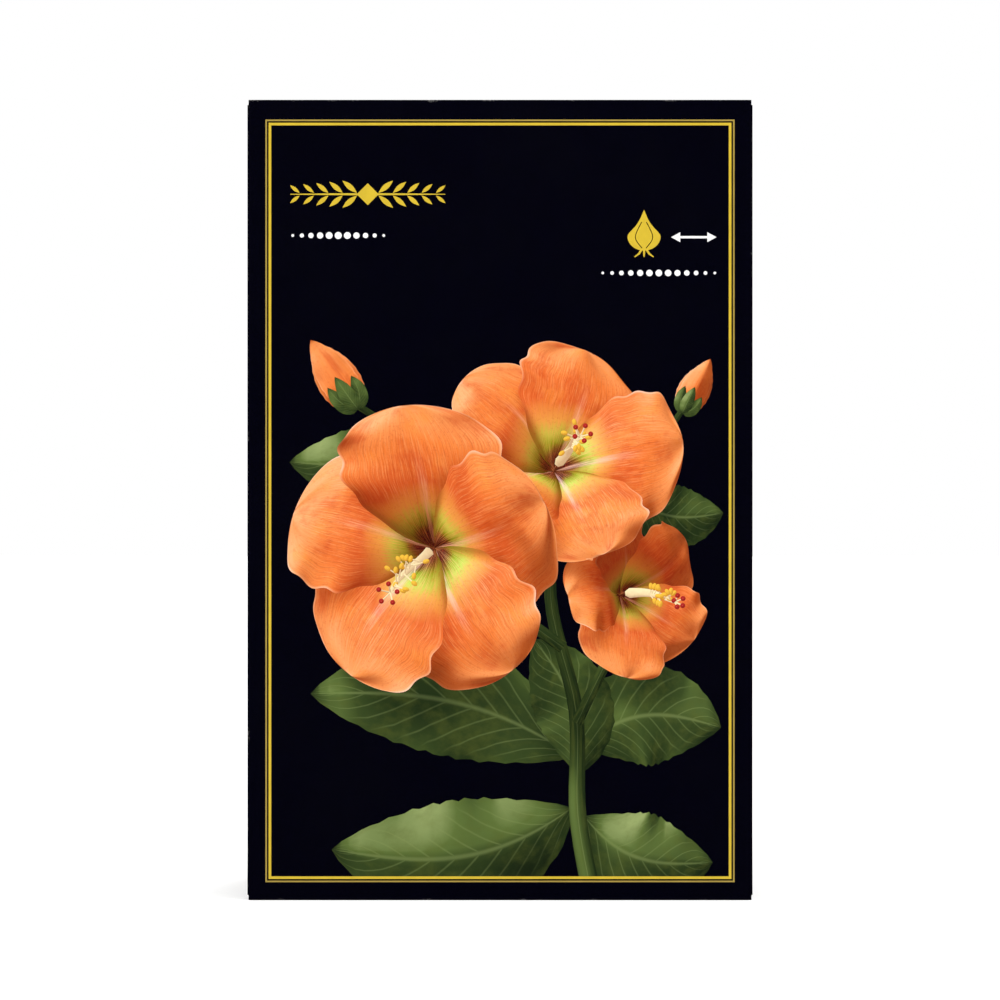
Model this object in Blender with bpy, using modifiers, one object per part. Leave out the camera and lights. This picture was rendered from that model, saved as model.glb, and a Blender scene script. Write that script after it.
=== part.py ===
"""Printed folding carton that holds one amaryllis bulb in a nest of wood shavings.

The carton is a tuck-end box folded from one sheet of board. Each of its pieces is drawn flat, as
on the cutting die, and then folded along a profile. The front faces -Y and the box stands on z = 0.
Everything is in metres.
"""

import math
from random import Random

import bmesh
import bpy
from mathutils import Matrix, Vector, noise

# Driving dimensions of the carton
WIDTH = 0.120
DEPTH = 0.090
HEIGHT = 0.190
BOARD = 0.0006
GAP = 0.0003

# Folding
CREASE_RADIUS = 0.0007
CREASE_STEPS = 4
GLUE_TAB = 0.014
GLUE_TAB_TRIM = 0.004
TUCK_DEPTH = 0.018
TUCK_LEAN = math.radians(6.0)
TUCK_CORNER = 0.008
TUCK_INSET = 0.0015
LID_SIDE_PLAY = 0.0005

# Dust flaps
DUST_REACH = 0.042
DUST_BACK_INSET = 0.0028
DUST_BACK_SLOPE = 0.5
DUST_FRONT_INSET = 0.0025
DUST_FRONT_TAPER = 0.004
DUST_CORNER = 0.004

# Air holes in each side wall, in a quincunx
VENT_RADIUS = 0.006
VENT_CENTRE_Z = 0.088
VENT_PITCH = 0.030
VENT_SIDES = 24

# Bulb of size 24/26, which is its girth in centimetres
BULB_GIRTH = 0.246
BULB_RADIUS = BULB_GIRTH / (2.0 * math.pi)
BULB_FOOT_Z = 0.019
BULB_WIDEST_Z = 0.055
BULB_TOP_Z = 0.150
# Outline below the widest place: share of the bulb's radius, share of the way up from the foot
BELLY_OUTLINE = ((0.24, 0.0), (0.38, 0.03), (0.55, 0.10), (0.76, 0.28), (0.92, 0.56))
# Outline above it: share of the bulb's radius, share of the way up to the cut neck
CROWN_OUTLINE = ((0.965, 0.12), (0.86, 0.24), (0.70, 0.35), (0.545, 0.45))
NECK_RADIUS = 0.0135
# Outline of the neck: share of the neck's radius, share of the way up to the cut neck
NECK_OUTLINE = ((1.13, 0.60), (1.0, 0.80), (0.97, 0.98))
NECK_RIM = 0.0022
NECK_RIM_RISE = 0.0016
# Waves of the torn rim: waves round the neck, height, phase
TORN_RIM = ((4.0, 0.0016, 0.0), (9.0, 0.0009, 1.0))
RIB_COUNT = 15
RIB_HEIGHT = 0.00045
LOBE_HEIGHT = 0.0008
BULB_TURN_STEPS = 60
LOBE_COUNT = 3
TUNIC_COUNT = 5
TUNIC_STEP = 0.0006
# How far round the bulb, in radians, each papery scale's edge stands out, and how it winds
TUNIC_REACH = 1.4
TUNIC_SPACING = 1.9
TUNIC_WIND = 2.2
RIB_WIND = 6.0

# Dry roots under the bulb
ROOT_COUNT = 13
ROOT_RADIUS = 0.00125
ROOT_SPREAD = 0.0335
ROOT_START_RADIUS = 0.0125
ROOT_SINK = 0.003
ROOT_DROP = 0.004
ROOT_KNEE_RISE = 0.0045
ROOT_LIFT = 0.0035

# Nest of shavings round the bulb's foot
NEST_TOP_Z = 0.035
NEST_CORNER_RISE = 0.013
NEST_CLEARANCE = 0.0004
NEST_RECESS_RADIUS = 0.0365
NEST_RECESS_Z = 0.023
NEST_SHELF = 0.008
NEST_HOLLOW_STEPS = 48
NEST_CELL = 0.0045
NEST_BUMP = 0.0030
NEST_BUMPS_PER_METRE = 95.0

# Heights that follow from the folded layers: lid or bottom, then dust flaps, then side walls
LAYER = BOARD + GAP
WALL_X = WIDTH / 2.0 - BOARD / 2.0
WALL_Y = DEPTH / 2.0 - BOARD / 2.0
TAB_Y = WALL_Y - LAYER
COVER_FRONT_Y = -DEPTH / 2.0 + LAYER
FLOOR_Z = 2.0 * BOARD + 2.0 * GAP

# Colours and finish of each material: red, green, blue and roughness
BLACK_PRINT = (0.004, 0.004, 0.010, 0.35)
TUNIC_BROWN = (0.32, 0.14, 0.05, 0.60)
PALE_WOOD = (0.72, 0.52, 0.30, 0.80)


def clear_scene():
    """Remove every object that the start-up scene holds."""
    for old in list(bpy.data.objects):
        bpy.data.objects.remove(old, do_unlink=True)


def collection(name):
    """A new collection linked under the scene."""
    made = bpy.data.collections.new(name)
    bpy.context.scene.collection.children.link(made)
    return made


def material(name, red, green, blue, roughness):
    """A plain Principled material."""
    made = bpy.data.materials.new(name)
    made.use_nodes = True
    shader = made.node_tree.nodes["Principled BSDF"]
    shader.inputs["Base Color"].default_value = (red, green, blue, 1.0)
    shader.inputs["Roughness"].default_value = roughness
    shader.inputs["Metallic"].default_value = 0.0
    return made


def object_from_bmesh(name, mesh_data, where, look=None):
    """Turn a bmesh into a named object in a collection."""
    mesh = bpy.data.meshes.new(name)
    mesh_data.to_mesh(mesh)
    mesh_data.free()
    made = bpy.data.objects.new(name, mesh)
    where.objects.link(made)
    if look:
        mesh.materials.append(look)
    return made


def hide_helper(helper):
    """Mark an object as a cutter or a guide."""
    helper.hide_render = True
    helper.display_type = "WIRE"


def freeze(source, name, where, look=None):
    """Replace an object by a mesh object of what it evaluates to."""
    bpy.context.view_layer.update()
    graph = bpy.context.evaluated_depsgraph_get()
    mesh = bpy.data.meshes.new_from_object(source.evaluated_get(graph))
    mesh.name = name
    made = bpy.data.objects.new(name, mesh)
    made.matrix_world = source.matrix_world
    where.objects.link(made)
    mesh.materials.clear()
    if look:
        mesh.materials.append(look)
    bpy.data.objects.remove(source, do_unlink=True)
    return made


# Folded board


def rounded_corner(before, corner, after, radius, steps):
    """Points of the arc that rounds a corner between two straight runs."""
    into = (before - corner).normalized()
    out = (after - corner).normalized()
    half = into.angle(out) / 2.0
    reach = radius / math.tan(half)
    centre = corner + (into + out).normalized() * (radius / math.sin(half))
    start = (corner + into * reach - centre).normalized()
    end = (corner + out * reach - centre).normalized()
    return [centre + start.slerp(end, i / steps) * radius for i in range(steps + 1)]


def fold_profile(corners, radius=CREASE_RADIUS, steps=CREASE_STEPS):
    """Profile through the corners, with each inner corner rounded as a crease."""
    points = [Vector(corners[0])]
    for before, corner, after in zip(corners, corners[1:], corners[2:]):
        points += rounded_corner(Vector(before), Vector(corner), Vector(after), radius, steps)
    return points + [Vector(corners[-1])]


def profile_lengths(profile):
    """Running length of the profile at each of its points."""
    lengths = [0.0]
    for a, b in zip(profile, profile[1:]):
        lengths.append(lengths[-1] + (b - a).length)
    return lengths


def folded_board(name, outline, profile, across, where, look):
    """Fold a flat piece of board along a profile.

    The outline is a list of (a, s): s runs along the profile and a runs along the vector across.
    """
    lengths = profile_lengths(profile)
    flat = bmesh.new()
    flat.faces.new([flat.verts.new((a, s, 0.0)) for a, s in outline])
    for crease in lengths[1:-1]:
        bmesh.ops.bisect_plane(
            flat,
            geom=flat.verts[:] + flat.edges[:] + flat.faces[:],
            dist=1e-7,
            plane_co=(0.0, crease, 0.0),
            plane_no=(0.0, 1.0, 0.0),
        )
    for vert in flat.verts:
        a, s = vert.co.x, min(max(vert.co.y, 0.0), lengths[-1])
        i = max(k for k in range(len(lengths) - 1) if lengths[k] <= s + 1e-9)
        share = (s - lengths[i]) / (lengths[i + 1] - lengths[i])
        vert.co = profile[i].lerp(profile[i + 1], share) + across * a
    piece = object_from_bmesh(name, flat, where, look)
    thickness = piece.modifiers.new("board thickness", "SOLIDIFY")
    thickness.thickness = BOARD
    thickness.offset = 0.0
    thickness.use_even_offset = True
    return piece


def arc_points(centre, radius, start_deg, end_deg, steps=6):
    """Points on an arc in the flat of the board."""
    turns = [math.radians(start_deg + (end_deg - start_deg) * i / steps) for i in range(steps + 1)]
    return [(centre[0] + radius * math.cos(t), centre[1] + radius * math.sin(t)) for t in turns]


def sleeve(where, cutters, look):
    """The four walls and the glue tab, which are one folded strip."""
    corners = [
        (-WALL_X + GLUE_TAB, TAB_Y, 0.0),
        (-WALL_X, TAB_Y, 0.0),
        (-WALL_X, -WALL_Y, 0.0),
        (WALL_X, -WALL_Y, 0.0),
        (WALL_X, WALL_Y, 0.0),
        (-WIDTH / 2.0, WALL_Y, 0.0),
    ]
    profile = fold_profile(corners)
    lengths = profile_lengths(profile)
    # Running lengths where the wall heights step, just past each crease
    tab_end, left_end, front_end, right_end = (lengths[(CREASE_STEPS + 1) * k] for k in (1, 2, 3, 4))
    left_start = lengths[(CREASE_STEPS + 1) * 1 - CREASE_STEPS]
    front_start = lengths[(CREASE_STEPS + 1) * 2 - CREASE_STEPS]
    side_z, back_z, tab_z = FLOOR_Z, LAYER, FLOOR_Z + GLUE_TAB_TRIM
    steps = [
        (tab_z, 0.0),
        (side_z, left_start),
        (side_z, front_start),
        (0.0, front_start),
        (0.0, front_end),
        (side_z, front_end),
        (side_z, right_end),
        (back_z, right_end),
        (back_z, lengths[-1]),
    ]
    top = [(HEIGHT - z, s) for z, s in reversed(steps)]
    wall = folded_board("carton_sleeve", steps + top, profile, Vector((0.0, 0.0, 1.0)), where, look)
    holes = vent_cutter(cutters)
    cut = wall.modifiers.new("air holes", "BOOLEAN")
    cut.operation = "DIFFERENCE"
    cut.object = holes
    return wall


def vent_places():
    """Centres of the air holes on a side wall as (y, z)."""
    half = VENT_PITCH / 2.0
    corners = [(y, VENT_CENTRE_Z + z) for y in (-half, half) for z in (-half, half)]
    return corners + [(0.0, VENT_CENTRE_Z)]


def vent_cutter(cutters):
    """One mesh of round bars that pass through both side walls."""
    bars = bmesh.new()
    across = Matrix.Rotation(math.pi / 2.0, 4, "Y")
    for y, z in vent_places():
        bmesh.ops.create_cone(
            bars,
            cap_ends=True,
            segments=VENT_SIDES,
            radius1=VENT_RADIUS,
            radius2=VENT_RADIUS,
            depth=WIDTH * 1.2,
            matrix=Matrix.Translation((0.0, y, z)) @ across,
        )
    cutter = object_from_bmesh("vent_bars", bars, cutters)
    hide_helper(cutter)
    return cutter


def end_flap(name, top, where, look):
    """The lid or the bottom with its tuck, mirrored in height."""
    outer_z = HEIGHT - BOARD / 2.0
    corner_y = COVER_FRONT_Y + BOARD / 2.0
    tuck_end = (
        0.0,
        corner_y + TUCK_DEPTH * math.sin(TUCK_LEAN),
        outer_z - TUCK_DEPTH * math.cos(TUCK_LEAN),
    )
    corners = [(0.0, DEPTH / 2.0, outer_z), (0.0, corner_y, outer_z), tuck_end]
    if not top:
        corners = [(x, y, HEIGHT - z) for x, y, z in corners]
    profile = fold_profile(corners)
    lengths = profile_lengths(profile)
    half, tuck_half = WIDTH / 2.0 - LID_SIDE_PLAY, WIDTH / 2.0 - LID_SIDE_PLAY - TUCK_INSET
    shoulder = lengths[1 + CREASE_STEPS]
    rim = lengths[-1] - TUCK_CORNER
    outline = [(-half, 0.0), (half, 0.0), (half, lengths[1]), (tuck_half, shoulder)]
    outline += arc_points((tuck_half - TUCK_CORNER, rim), TUCK_CORNER, 0.0, 90.0)
    outline += arc_points((-tuck_half + TUCK_CORNER, rim), TUCK_CORNER, 90.0, 180.0)
    outline += [(-tuck_half, shoulder), (-half, lengths[1])]
    return folded_board(name, outline, profile, Vector((1.0, 0.0, 0.0)), where, look)


def dust_flap(name, side, top, where, look):
    """A dust flap, folded in from the wall on one side.

    Its back edge slopes, so that it can rise with the lid at half the lid's angle.
    """
    z = HEIGHT - LAYER - BOARD / 2.0
    if not top:
        z = HEIGHT - z
    hinge_x = side * WIDTH / 2.0
    profile = [Vector((hinge_x, 0.0, z)), Vector((hinge_x - side * DUST_REACH, 0.0, z))]
    back = DEPTH / 2.0 - DUST_BACK_INSET
    back_tip = back - DUST_BACK_SLOPE * DUST_REACH
    front = -DEPTH / 2.0 + DUST_FRONT_INSET
    front_tip = front + DUST_FRONT_TAPER
    outline = [(front, 0.0), (back, 0.0), (back_tip, DUST_REACH)]
    outline += arc_points((front_tip + DUST_CORNER, DUST_REACH - DUST_CORNER), DUST_CORNER, 90.0, 180.0)
    return folded_board(name, outline, profile, Vector((0.0, 1.0, 0.0)), where, look)


# Bulb


def smooth_curve(points, steps):
    """Points on a smooth curve through the given ones."""
    curve = []
    padded = [points[0]] + points + [points[-1]]
    for a, b, c, d in zip(padded, padded[1:], padded[2:], padded[3:]):
        for i in range(steps):
            t = i / steps
            curve.append(
                0.5
                * (
                    2.0 * b
                    + (c - a) * t
                    + (2.0 * a - 5.0 * b + 4.0 * c - d) * t**2
                    + (3.0 * b - a - 3.0 * c + d) * t**3
                )
            )
    return curve + [points[-1]]


def bulb_profile():
    """Outline of the bulb as (radius, 0, height), from the foot up to the cut neck."""
    belly = BULB_WIDEST_Z - BULB_FOOT_Z
    crown = BULB_TOP_Z - BULB_WIDEST_Z
    shape = [Vector((BULB_RADIUS * r, 0.0, BULB_FOOT_Z + belly * h)) for r, h in BELLY_OUTLINE]
    shape += [Vector((BULB_RADIUS, 0.0, BULB_WIDEST_Z))]
    shape += [Vector((BULB_RADIUS * r, 0.0, BULB_WIDEST_Z + crown * h)) for r, h in CROWN_OUTLINE]
    shape += [Vector((NECK_RADIUS * r, 0.0, BULB_WIDEST_Z + crown * h)) for r, h in NECK_OUTLINE]
    return shape


def rib_offset(angle, height):
    """How far the ribs and the stepped edges of the papery scales stand out."""
    rise = (height - BULB_FOOT_Z) / (BULB_TOP_Z - BULB_FOOT_Z)
    fade = math.sin(math.pi * min(max(rise, 0.0), 1.0)) ** 0.5
    ribs = RIB_HEIGHT * math.sin(RIB_COUNT * angle + RIB_WIND * rise) * fade
    lobes = LOBE_HEIGHT * math.sin(LOBE_COUNT * angle) * fade
    steps = 0.0
    for i in range(TUNIC_COUNT):
        edge = 2.0 * math.pi * (i / TUNIC_COUNT) + TUNIC_SPACING * i + TUNIC_WIND * rise
        turn = (angle - edge) % (2.0 * math.pi)
        steps = max(steps, TUNIC_STEP * (1.0 - turn / TUNIC_REACH) * fade)
    return ribs + lobes + steps


def bulb_body(where):
    """The bulb and its neck as a turned shape, with ribs raised from it."""
    rim = smooth_curve(bulb_profile(), 3)
    foot = Vector((0.0, 0.0, rim[0].z + BOARD))
    lip = Vector((rim[-1].x - NECK_RIM, 0.0, rim[-1].z + NECK_RIM_RISE))
    mouth = Vector((rim[-1].x * 0.45, 0.0, rim[-1].z))
    tip = Vector((0.0, 0.0, rim[-1].z + BOARD))
    outline = [foot] + rim + [lip, mouth, tip]
    line = bmesh.new()
    verts = [line.verts.new(p) for p in reversed(outline)]
    for a, b in zip(verts, verts[1:]):
        line.edges.new((a, b))
    turned = object_from_bmesh("bulb_profile", line, where)
    screw = turned.modifiers.new("turn", "SCREW")
    screw.steps = screw.render_steps = BULB_TURN_STEPS
    screw.use_merge_vertices = True
    screw.merge_threshold = 0.0001
    screw.use_smooth_shade = True
    body = freeze(turned, "bulb_body", where)
    for vert in body.data.vertices:
        radius = math.hypot(vert.co.x, vert.co.y)
        if radius < NECK_RADIUS / 3.0:
            continue
        angle = math.atan2(vert.co.y, vert.co.x)
        grown = radius + rib_offset(angle, vert.co.z)
        vert.co.x, vert.co.y = grown * math.cos(angle), grown * math.sin(angle)
        if vert.co.z > BULB_TOP_Z - NECK_RIM:
            vert.co.z += sum(h * math.sin(waves * angle + phase) for waves, h, phase in TORN_RIM)
    return body


def root_paths():
    """Centre lines of the dry roots: out of the foot, down, and along the carton's floor."""
    draw = Random(24)
    low = FLOOR_Z + ROOT_RADIUS * 1.35
    paths = []
    for i in range(ROOT_COUNT):
        angle = 2.0 * math.pi * (i + draw.uniform(-0.22, 0.22)) / ROOT_COUNT
        start = ROOT_START_RADIUS * draw.uniform(0.55, 1.0)
        reach = ROOT_SPREAD * draw.uniform(0.72, 1.0)
        bend = draw.uniform(-0.35, 0.35)
        lift = draw.uniform(0.0, ROOT_LIFT)
        run = reach - start
        stations = [
            (start, BULB_FOOT_Z + ROOT_SINK, 0.0),
            (start + 0.04 * run, BULB_FOOT_Z - ROOT_DROP, 0.0),
            (start + 0.35 * run, low + ROOT_KNEE_RISE + lift, 0.4 * bend),
            (start + 0.70 * run, low + lift, 0.8 * bend),
            (reach, low + 0.6 * lift, bend),
        ]
        paths.append(
            [Vector((r * math.cos(angle + b), r * math.sin(angle + b), z)) for r, z, b in stations]
        )
    return paths


def root_mesh(index, path, where):
    """One tapering root as a mesh tube with closed ends."""
    curve = bpy.data.curves.new(f"root_{index}", "CURVE")
    curve.dimensions = "3D"
    curve.bevel_depth = ROOT_RADIUS
    curve.bevel_resolution = 1
    curve.use_fill_caps = True
    line = smooth_curve(path, 3)
    spline = curve.splines.new("POLY")
    spline.points.add(len(line) - 1)
    for k, (point, place) in enumerate(zip(spline.points, line)):
        point.co = (*place, 1.0)
        point.radius = 1.25 - 0.65 * k / (len(line) - 1)
    tube = bpy.data.objects.new(f"root_{index}", curve)
    where.objects.link(tube)
    made = freeze(tube, f"root_{index}", where)
    welded = bmesh.new()
    welded.from_mesh(made.data)
    bmesh.ops.remove_doubles(welded, verts=welded.verts[:], dist=1e-6)
    bmesh.ops.recalc_face_normals(welded, faces=welded.faces[:])
    welded.to_mesh(made.data)
    welded.free()
    return made


def bulb(where, look):
    """The bulb with its neck and roots, grown as one piece."""
    body = bulb_body(where)
    pieces = collection("bulb_roots")
    for index, path in enumerate(root_paths()):
        root_mesh(index, path, pieces)
    join = body.modifiers.new("roots", "BOOLEAN")
    join.operation = "UNION"
    join.operand_type = "COLLECTION"
    join.collection = pieces
    join.solver = "EXACT"
    grown = freeze(body, "bulb", where, look)
    for helper in list(pieces.objects):
        bpy.data.objects.remove(helper, do_unlink=True)
    bpy.data.collections.remove(pieces)
    grown.data.shade_smooth()
    return grown


# Nest


def nest_block(where):
    """A block that fills the carton's foot, with a bumpy top."""
    half_x = WALL_X - BOARD / 2.0 - GAP
    back_y = TAB_Y - BOARD / 2.0 - GAP
    front_y = COVER_FRONT_Y + BOARD + TUCK_DEPTH * math.sin(TUCK_LEAN) + GAP
    half_y, middle_y = (back_y - front_y) / 2.0, (back_y + front_y) / 2.0
    low = FLOOR_Z
    cells_x, cells_y = round(2.0 * half_x / NEST_CELL), round(2.0 * half_y / NEST_CELL)
    block = bmesh.new()
    bmesh.ops.create_grid(block, x_segments=cells_x, y_segments=cells_y, size=1.0)
    for vert in block.verts:
        vert.co.x *= half_x
        vert.co.y = middle_y + half_y * vert.co.y
        bump = noise.noise(Vector((vert.co.x, vert.co.y, 0.0)) * NEST_BUMPS_PER_METRE)
        outward = max(0.0, math.hypot(vert.co.x, vert.co.y) - BULB_RADIUS) / (WIDTH / 2.0)
        vert.co.z = NEST_TOP_Z + NEST_BUMP * bump + NEST_CORNER_RISE * outward
    top_faces = block.faces[:]
    skirt = bmesh.ops.extrude_face_region(block, geom=top_faces)
    for vert in (item for item in skirt["geom"] if isinstance(item, bmesh.types.BMVert)):
        vert.co.z = low
    bmesh.ops.recalc_face_normals(block, faces=block.faces[:])
    bmesh.ops.dissolve_limit(
        block,
        angle_limit=math.radians(0.5),
        verts=[v for v in block.verts if v.co.z < low + 1e-6],
        edges=[e for e in block.edges if all(v.co.z < low + 1e-6 for v in e.verts)],
    )
    return object_from_bmesh("nest_block", block, where)


def nest_hollow(cutters):
    """Turned cutter: the bulb's seat above, and a room for the roots below."""
    clear = TUNIC_STEP + RIB_HEIGHT + LOBE_HEIGHT + NEST_CLEARANCE
    rim = smooth_curve(bulb_profile(), 3)
    seat = [p + Vector((clear, 0.0, 0.0)) for p in rim if NEST_RECESS_Z < p.z <= BULB_WIDEST_Z]
    above, below = BULB_WIDEST_Z + NEST_CELL, -NEST_CELL
    shelf_z = NEST_RECESS_Z - NEST_SHELF
    outline = [Vector((0.0, 0.0, above)), Vector((seat[-1].x, 0.0, above))]
    outline += list(reversed(seat))
    outline += [Vector((seat[0].x, 0.0, NEST_RECESS_Z))]
    outline += [Vector((NEST_RECESS_RADIUS, 0.0, shelf_z))]
    outline += [Vector((NEST_RECESS_RADIUS, 0.0, below)), Vector((0.0, 0.0, below))]
    line = bmesh.new()
    verts = [line.verts.new(p) for p in outline]
    for a, b in zip(verts, verts[1:]):
        line.edges.new((a, b))
    hollow = object_from_bmesh("nest_hollow", line, cutters)
    screw = hollow.modifiers.new("turn", "SCREW")
    screw.steps = screw.render_steps = NEST_HOLLOW_STEPS
    screw.use_merge_vertices = True
    screw.merge_threshold = 0.00005
    hide_helper(hollow)
    return hollow


def nest(where, cutters, look):
    """The wood shavings that hold the bulb upright."""
    block = nest_block(where)
    hollow = nest_hollow(cutters)
    cut = block.modifiers.new("seat", "BOOLEAN")
    cut.operation = "DIFFERENCE"
    cut.object = hollow
    return freeze(block, "shavings_nest", where, look)


def main():
    """Build the carton, its flaps, the bulb and the nest."""
    clear_scene()
    parts = collection("amaryllis_bulb_carton")
    cutters = collection("cutters")
    board = material("printed board", *BLACK_PRINT)
    tunic = material("papery tunic", *TUNIC_BROWN)
    wood = material("wood shavings", *PALE_WOOD)
    sleeve(parts, cutters, board)
    end_flap("lid_flap", True, parts, board)
    end_flap("bottom_flap", False, parts, board)
    for side, word in ((-1.0, "left"), (1.0, "right")):
        dust_flap(f"dust_flap_{word}", side, True, parts, board)
        dust_flap(f"bottom_dust_flap_{word}", side, False, parts, board)
    bulb(parts, tunic)
    nest(parts, cutters, wood)


main()
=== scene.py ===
"""Looks of the amaryllis bulb carton: printed board, papery bulb and curled wood shavings.

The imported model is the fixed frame, and every piece here rides on one of its bodies. The panels of
the carton are drawn flat with their print, in millimetres, and then folded as the board is.
"""

import logging
from dataclasses import dataclass, field, replace
from enum import Enum
from math import atan2, copysign, cos, exp, hypot, pi, radians, sin, tan, tau
from random import Random
from typing import Callable, Iterable, Sequence

import bpy
import numpy as np
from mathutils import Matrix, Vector, noise
from mathutils.bvhtree import BVHTree
from mathutils.geometry import delaunay_2d_cdt


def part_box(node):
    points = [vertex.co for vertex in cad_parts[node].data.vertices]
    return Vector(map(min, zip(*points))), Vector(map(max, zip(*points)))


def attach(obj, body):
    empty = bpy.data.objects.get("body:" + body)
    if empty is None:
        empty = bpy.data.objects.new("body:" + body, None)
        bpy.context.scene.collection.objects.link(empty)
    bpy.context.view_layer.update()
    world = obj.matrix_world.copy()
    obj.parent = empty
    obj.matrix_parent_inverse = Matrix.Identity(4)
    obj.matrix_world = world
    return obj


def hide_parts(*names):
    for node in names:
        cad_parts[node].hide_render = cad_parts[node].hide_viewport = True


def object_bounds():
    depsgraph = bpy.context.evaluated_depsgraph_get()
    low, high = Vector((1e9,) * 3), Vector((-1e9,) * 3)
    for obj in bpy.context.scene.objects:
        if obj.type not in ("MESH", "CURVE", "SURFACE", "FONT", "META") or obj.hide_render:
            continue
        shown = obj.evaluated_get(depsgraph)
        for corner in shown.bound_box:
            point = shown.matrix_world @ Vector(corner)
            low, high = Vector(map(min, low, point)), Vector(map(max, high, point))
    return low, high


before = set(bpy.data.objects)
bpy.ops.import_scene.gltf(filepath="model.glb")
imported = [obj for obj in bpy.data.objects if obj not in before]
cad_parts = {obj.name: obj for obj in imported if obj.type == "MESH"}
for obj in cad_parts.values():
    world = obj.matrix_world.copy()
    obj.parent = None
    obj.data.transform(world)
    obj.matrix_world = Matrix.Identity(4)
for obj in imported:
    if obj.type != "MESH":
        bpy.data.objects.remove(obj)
CAD_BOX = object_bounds()

MM = 0.001
CUT_PRECISION = 1e-4
WELD_REACH = 5e-4
CLAIM_SLACK = 1e-3

Colour = tuple[float, float, float]
Point = tuple[float, float]
Array = np.ndarray
Piece = bpy.types.Object
Feeds = dict[str | int, "Feed"]


# Shader toolkit


class Value:
    """A node's output in a formula: each operator adds a node to its graph."""

    def __init__(self, graph: "Graph", socket: bpy.types.NodeSocket) -> None:
        """Take an output socket of a graph."""
        self.graph = graph
        self.socket = socket

    def __add__(self, other: "Feed") -> "Value":
        """Sum."""
        return self.graph.math("ADD", self, other)

    def __sub__(self, other: "Feed") -> "Value":
        """Difference."""
        return self.graph.math("SUBTRACT", self, other)

    def __mul__(self, other: "Feed") -> "Value":
        """Product."""
        return self.graph.math("MULTIPLY", self, other)

    def __abs__(self) -> "Value":
        """Distance from nought."""
        return self.graph.math("ABSOLUTE", self)

    def to_whole(self) -> "Value":
        """Distance to the nearest whole number."""
        return self.graph.math("PINGPONG", self, 0.5)

    def span(self, low: float, high: float, start: float = 0.0, end: float = 1.0) -> "Value":
        """Smooth step from low to high, put out from start to end."""
        feeds = {"Value": self, "From Min": low, "From Max": high, "To Min": start, "To Max": end}
        return self.graph.out("MapRange", feeds, interpolation_type="SMOOTHSTEP")

    def stretch(self, *by: float) -> "Value":
        """Vector with each part multiplied."""
        return self.graph.out("VectorMath", {0: self, 1: by}, operation="MULTIPLY")

    def parts(self, kind: str = "SeparateXYZ") -> list["Value"]:
        """The three parts of a vector or, with its kind of node, of a colour."""
        return [Value(self.graph, socket) for socket in self.graph.node(kind, {0: self}).outputs]


Feed = Value | float | tuple
Sockets = dict[str, Value]


class Graph:
    """A node tree under construction, with short ways to add nodes and join them."""

    def __init__(self, tree: bpy.types.NodeTree) -> None:
        """Start on a tree."""
        self.tree = tree

    def feed(self, node: bpy.types.Node, feeds: Feeds) -> None:
        """Link a node's inputs to values, or set them. A colour gets its alpha here.

        Args:
            node: The node that takes them.
            feeds: What each input takes, by its name or number.
        """
        for name, feed in feeds.items():
            socket = node.inputs[name]
            if isinstance(feed, Value):
                self.tree.links.new(feed.socket, socket)
            else:
                socket.default_value = (*feed, 1.0) if socket.type == "RGBA" else feed

    def node(self, kind: str, feeds: Feeds, **settings: object) -> bpy.types.Node:
        """Add a node.

        Args:
            kind: Blender's name of the shader node, without its first words.
            feeds: What its inputs take.
            settings: The node's own properties.

        Returns:
            The new node.
        """
        made = self.tree.nodes.new("ShaderNode" + kind)
        for name, value in settings.items():
            setattr(made, name, value)
        self.feed(made, feeds)
        return made

    def out(self, kind: str, feeds: Feeds, pick: str | int = 0, **settings: object) -> Value:
        """Add a node and take one of its outputs."""
        return Value(self, self.node(kind, feeds, **settings).outputs[pick])

    def math(self, operation: str, first: Feed, second: Feed = 0.0, clamp: bool = False) -> Value:
        """Output of a Math node."""
        return self.out("Math", {0: first, 1: second}, operation=operation, use_clamp=clamp)

    def mix(self, share: Feed, first: Feed, second: Feed, blend: str = "MIX") -> Value:
        """Colour between two, by a share."""
        return self.out("Mix", {0: share, 6: first, 7: second}, 2, data_type="RGBA", blend_type=blend)

    def ramp(self, share: Feed, *stops: tuple[float, ...]) -> Value:
        """Colour read from a ramp, each of its stops a place, red, green and blue."""
        made = self.node("ValToRGB", {0: share})
        elements = made.color_ramp.elements
        while len(elements) < len(stops):
            elements.new(0.5)
        for element, (place, *colour) in zip(elements, stops):
            element.position = place
            element.color = (*colour, 1.0)
        return Value(self, made.outputs[0])

    def noise(self, vector: Feed, scale: float, detail: float = 2.0, roughness: float = 0.5) -> Value:
        """Noise value, about 0.5 on average."""
        feeds = {"Vector": vector, "Scale": scale, "Detail": detail, "Roughness": roughness}
        return self.out("TexNoise", feeds)

    def join(self, x: Feed, y: Feed, z: Feed = 0.0) -> Value:
        """Vector of three values."""
        return self.out("CombineXYZ", {0: x, 1: y, 2: z})

    def place(self) -> Value:
        """Position in the object's own coordinates, in metres."""
        return self.out("TexCoord", {}, "Object")

    def grain(self) -> Value:
        """The UV map that runs along and across a petal, leaf, sheet or shaving."""
        return self.out("UVMap", {}, uv_map="grain")

    def tone(self) -> list[Value]:
        """Light, back and seed from the tone attribute."""
        return self.out("Attribute", {}, "Color", attribute_name="tone").parts("SeparateColor")

    def relief(self, height: Feed, depth: float, strength: float) -> Value:
        """Normal of a height, by a Bump node."""
        return self.out("Bump", {"Height": height, "Distance": depth, "Strength": strength})


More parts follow.
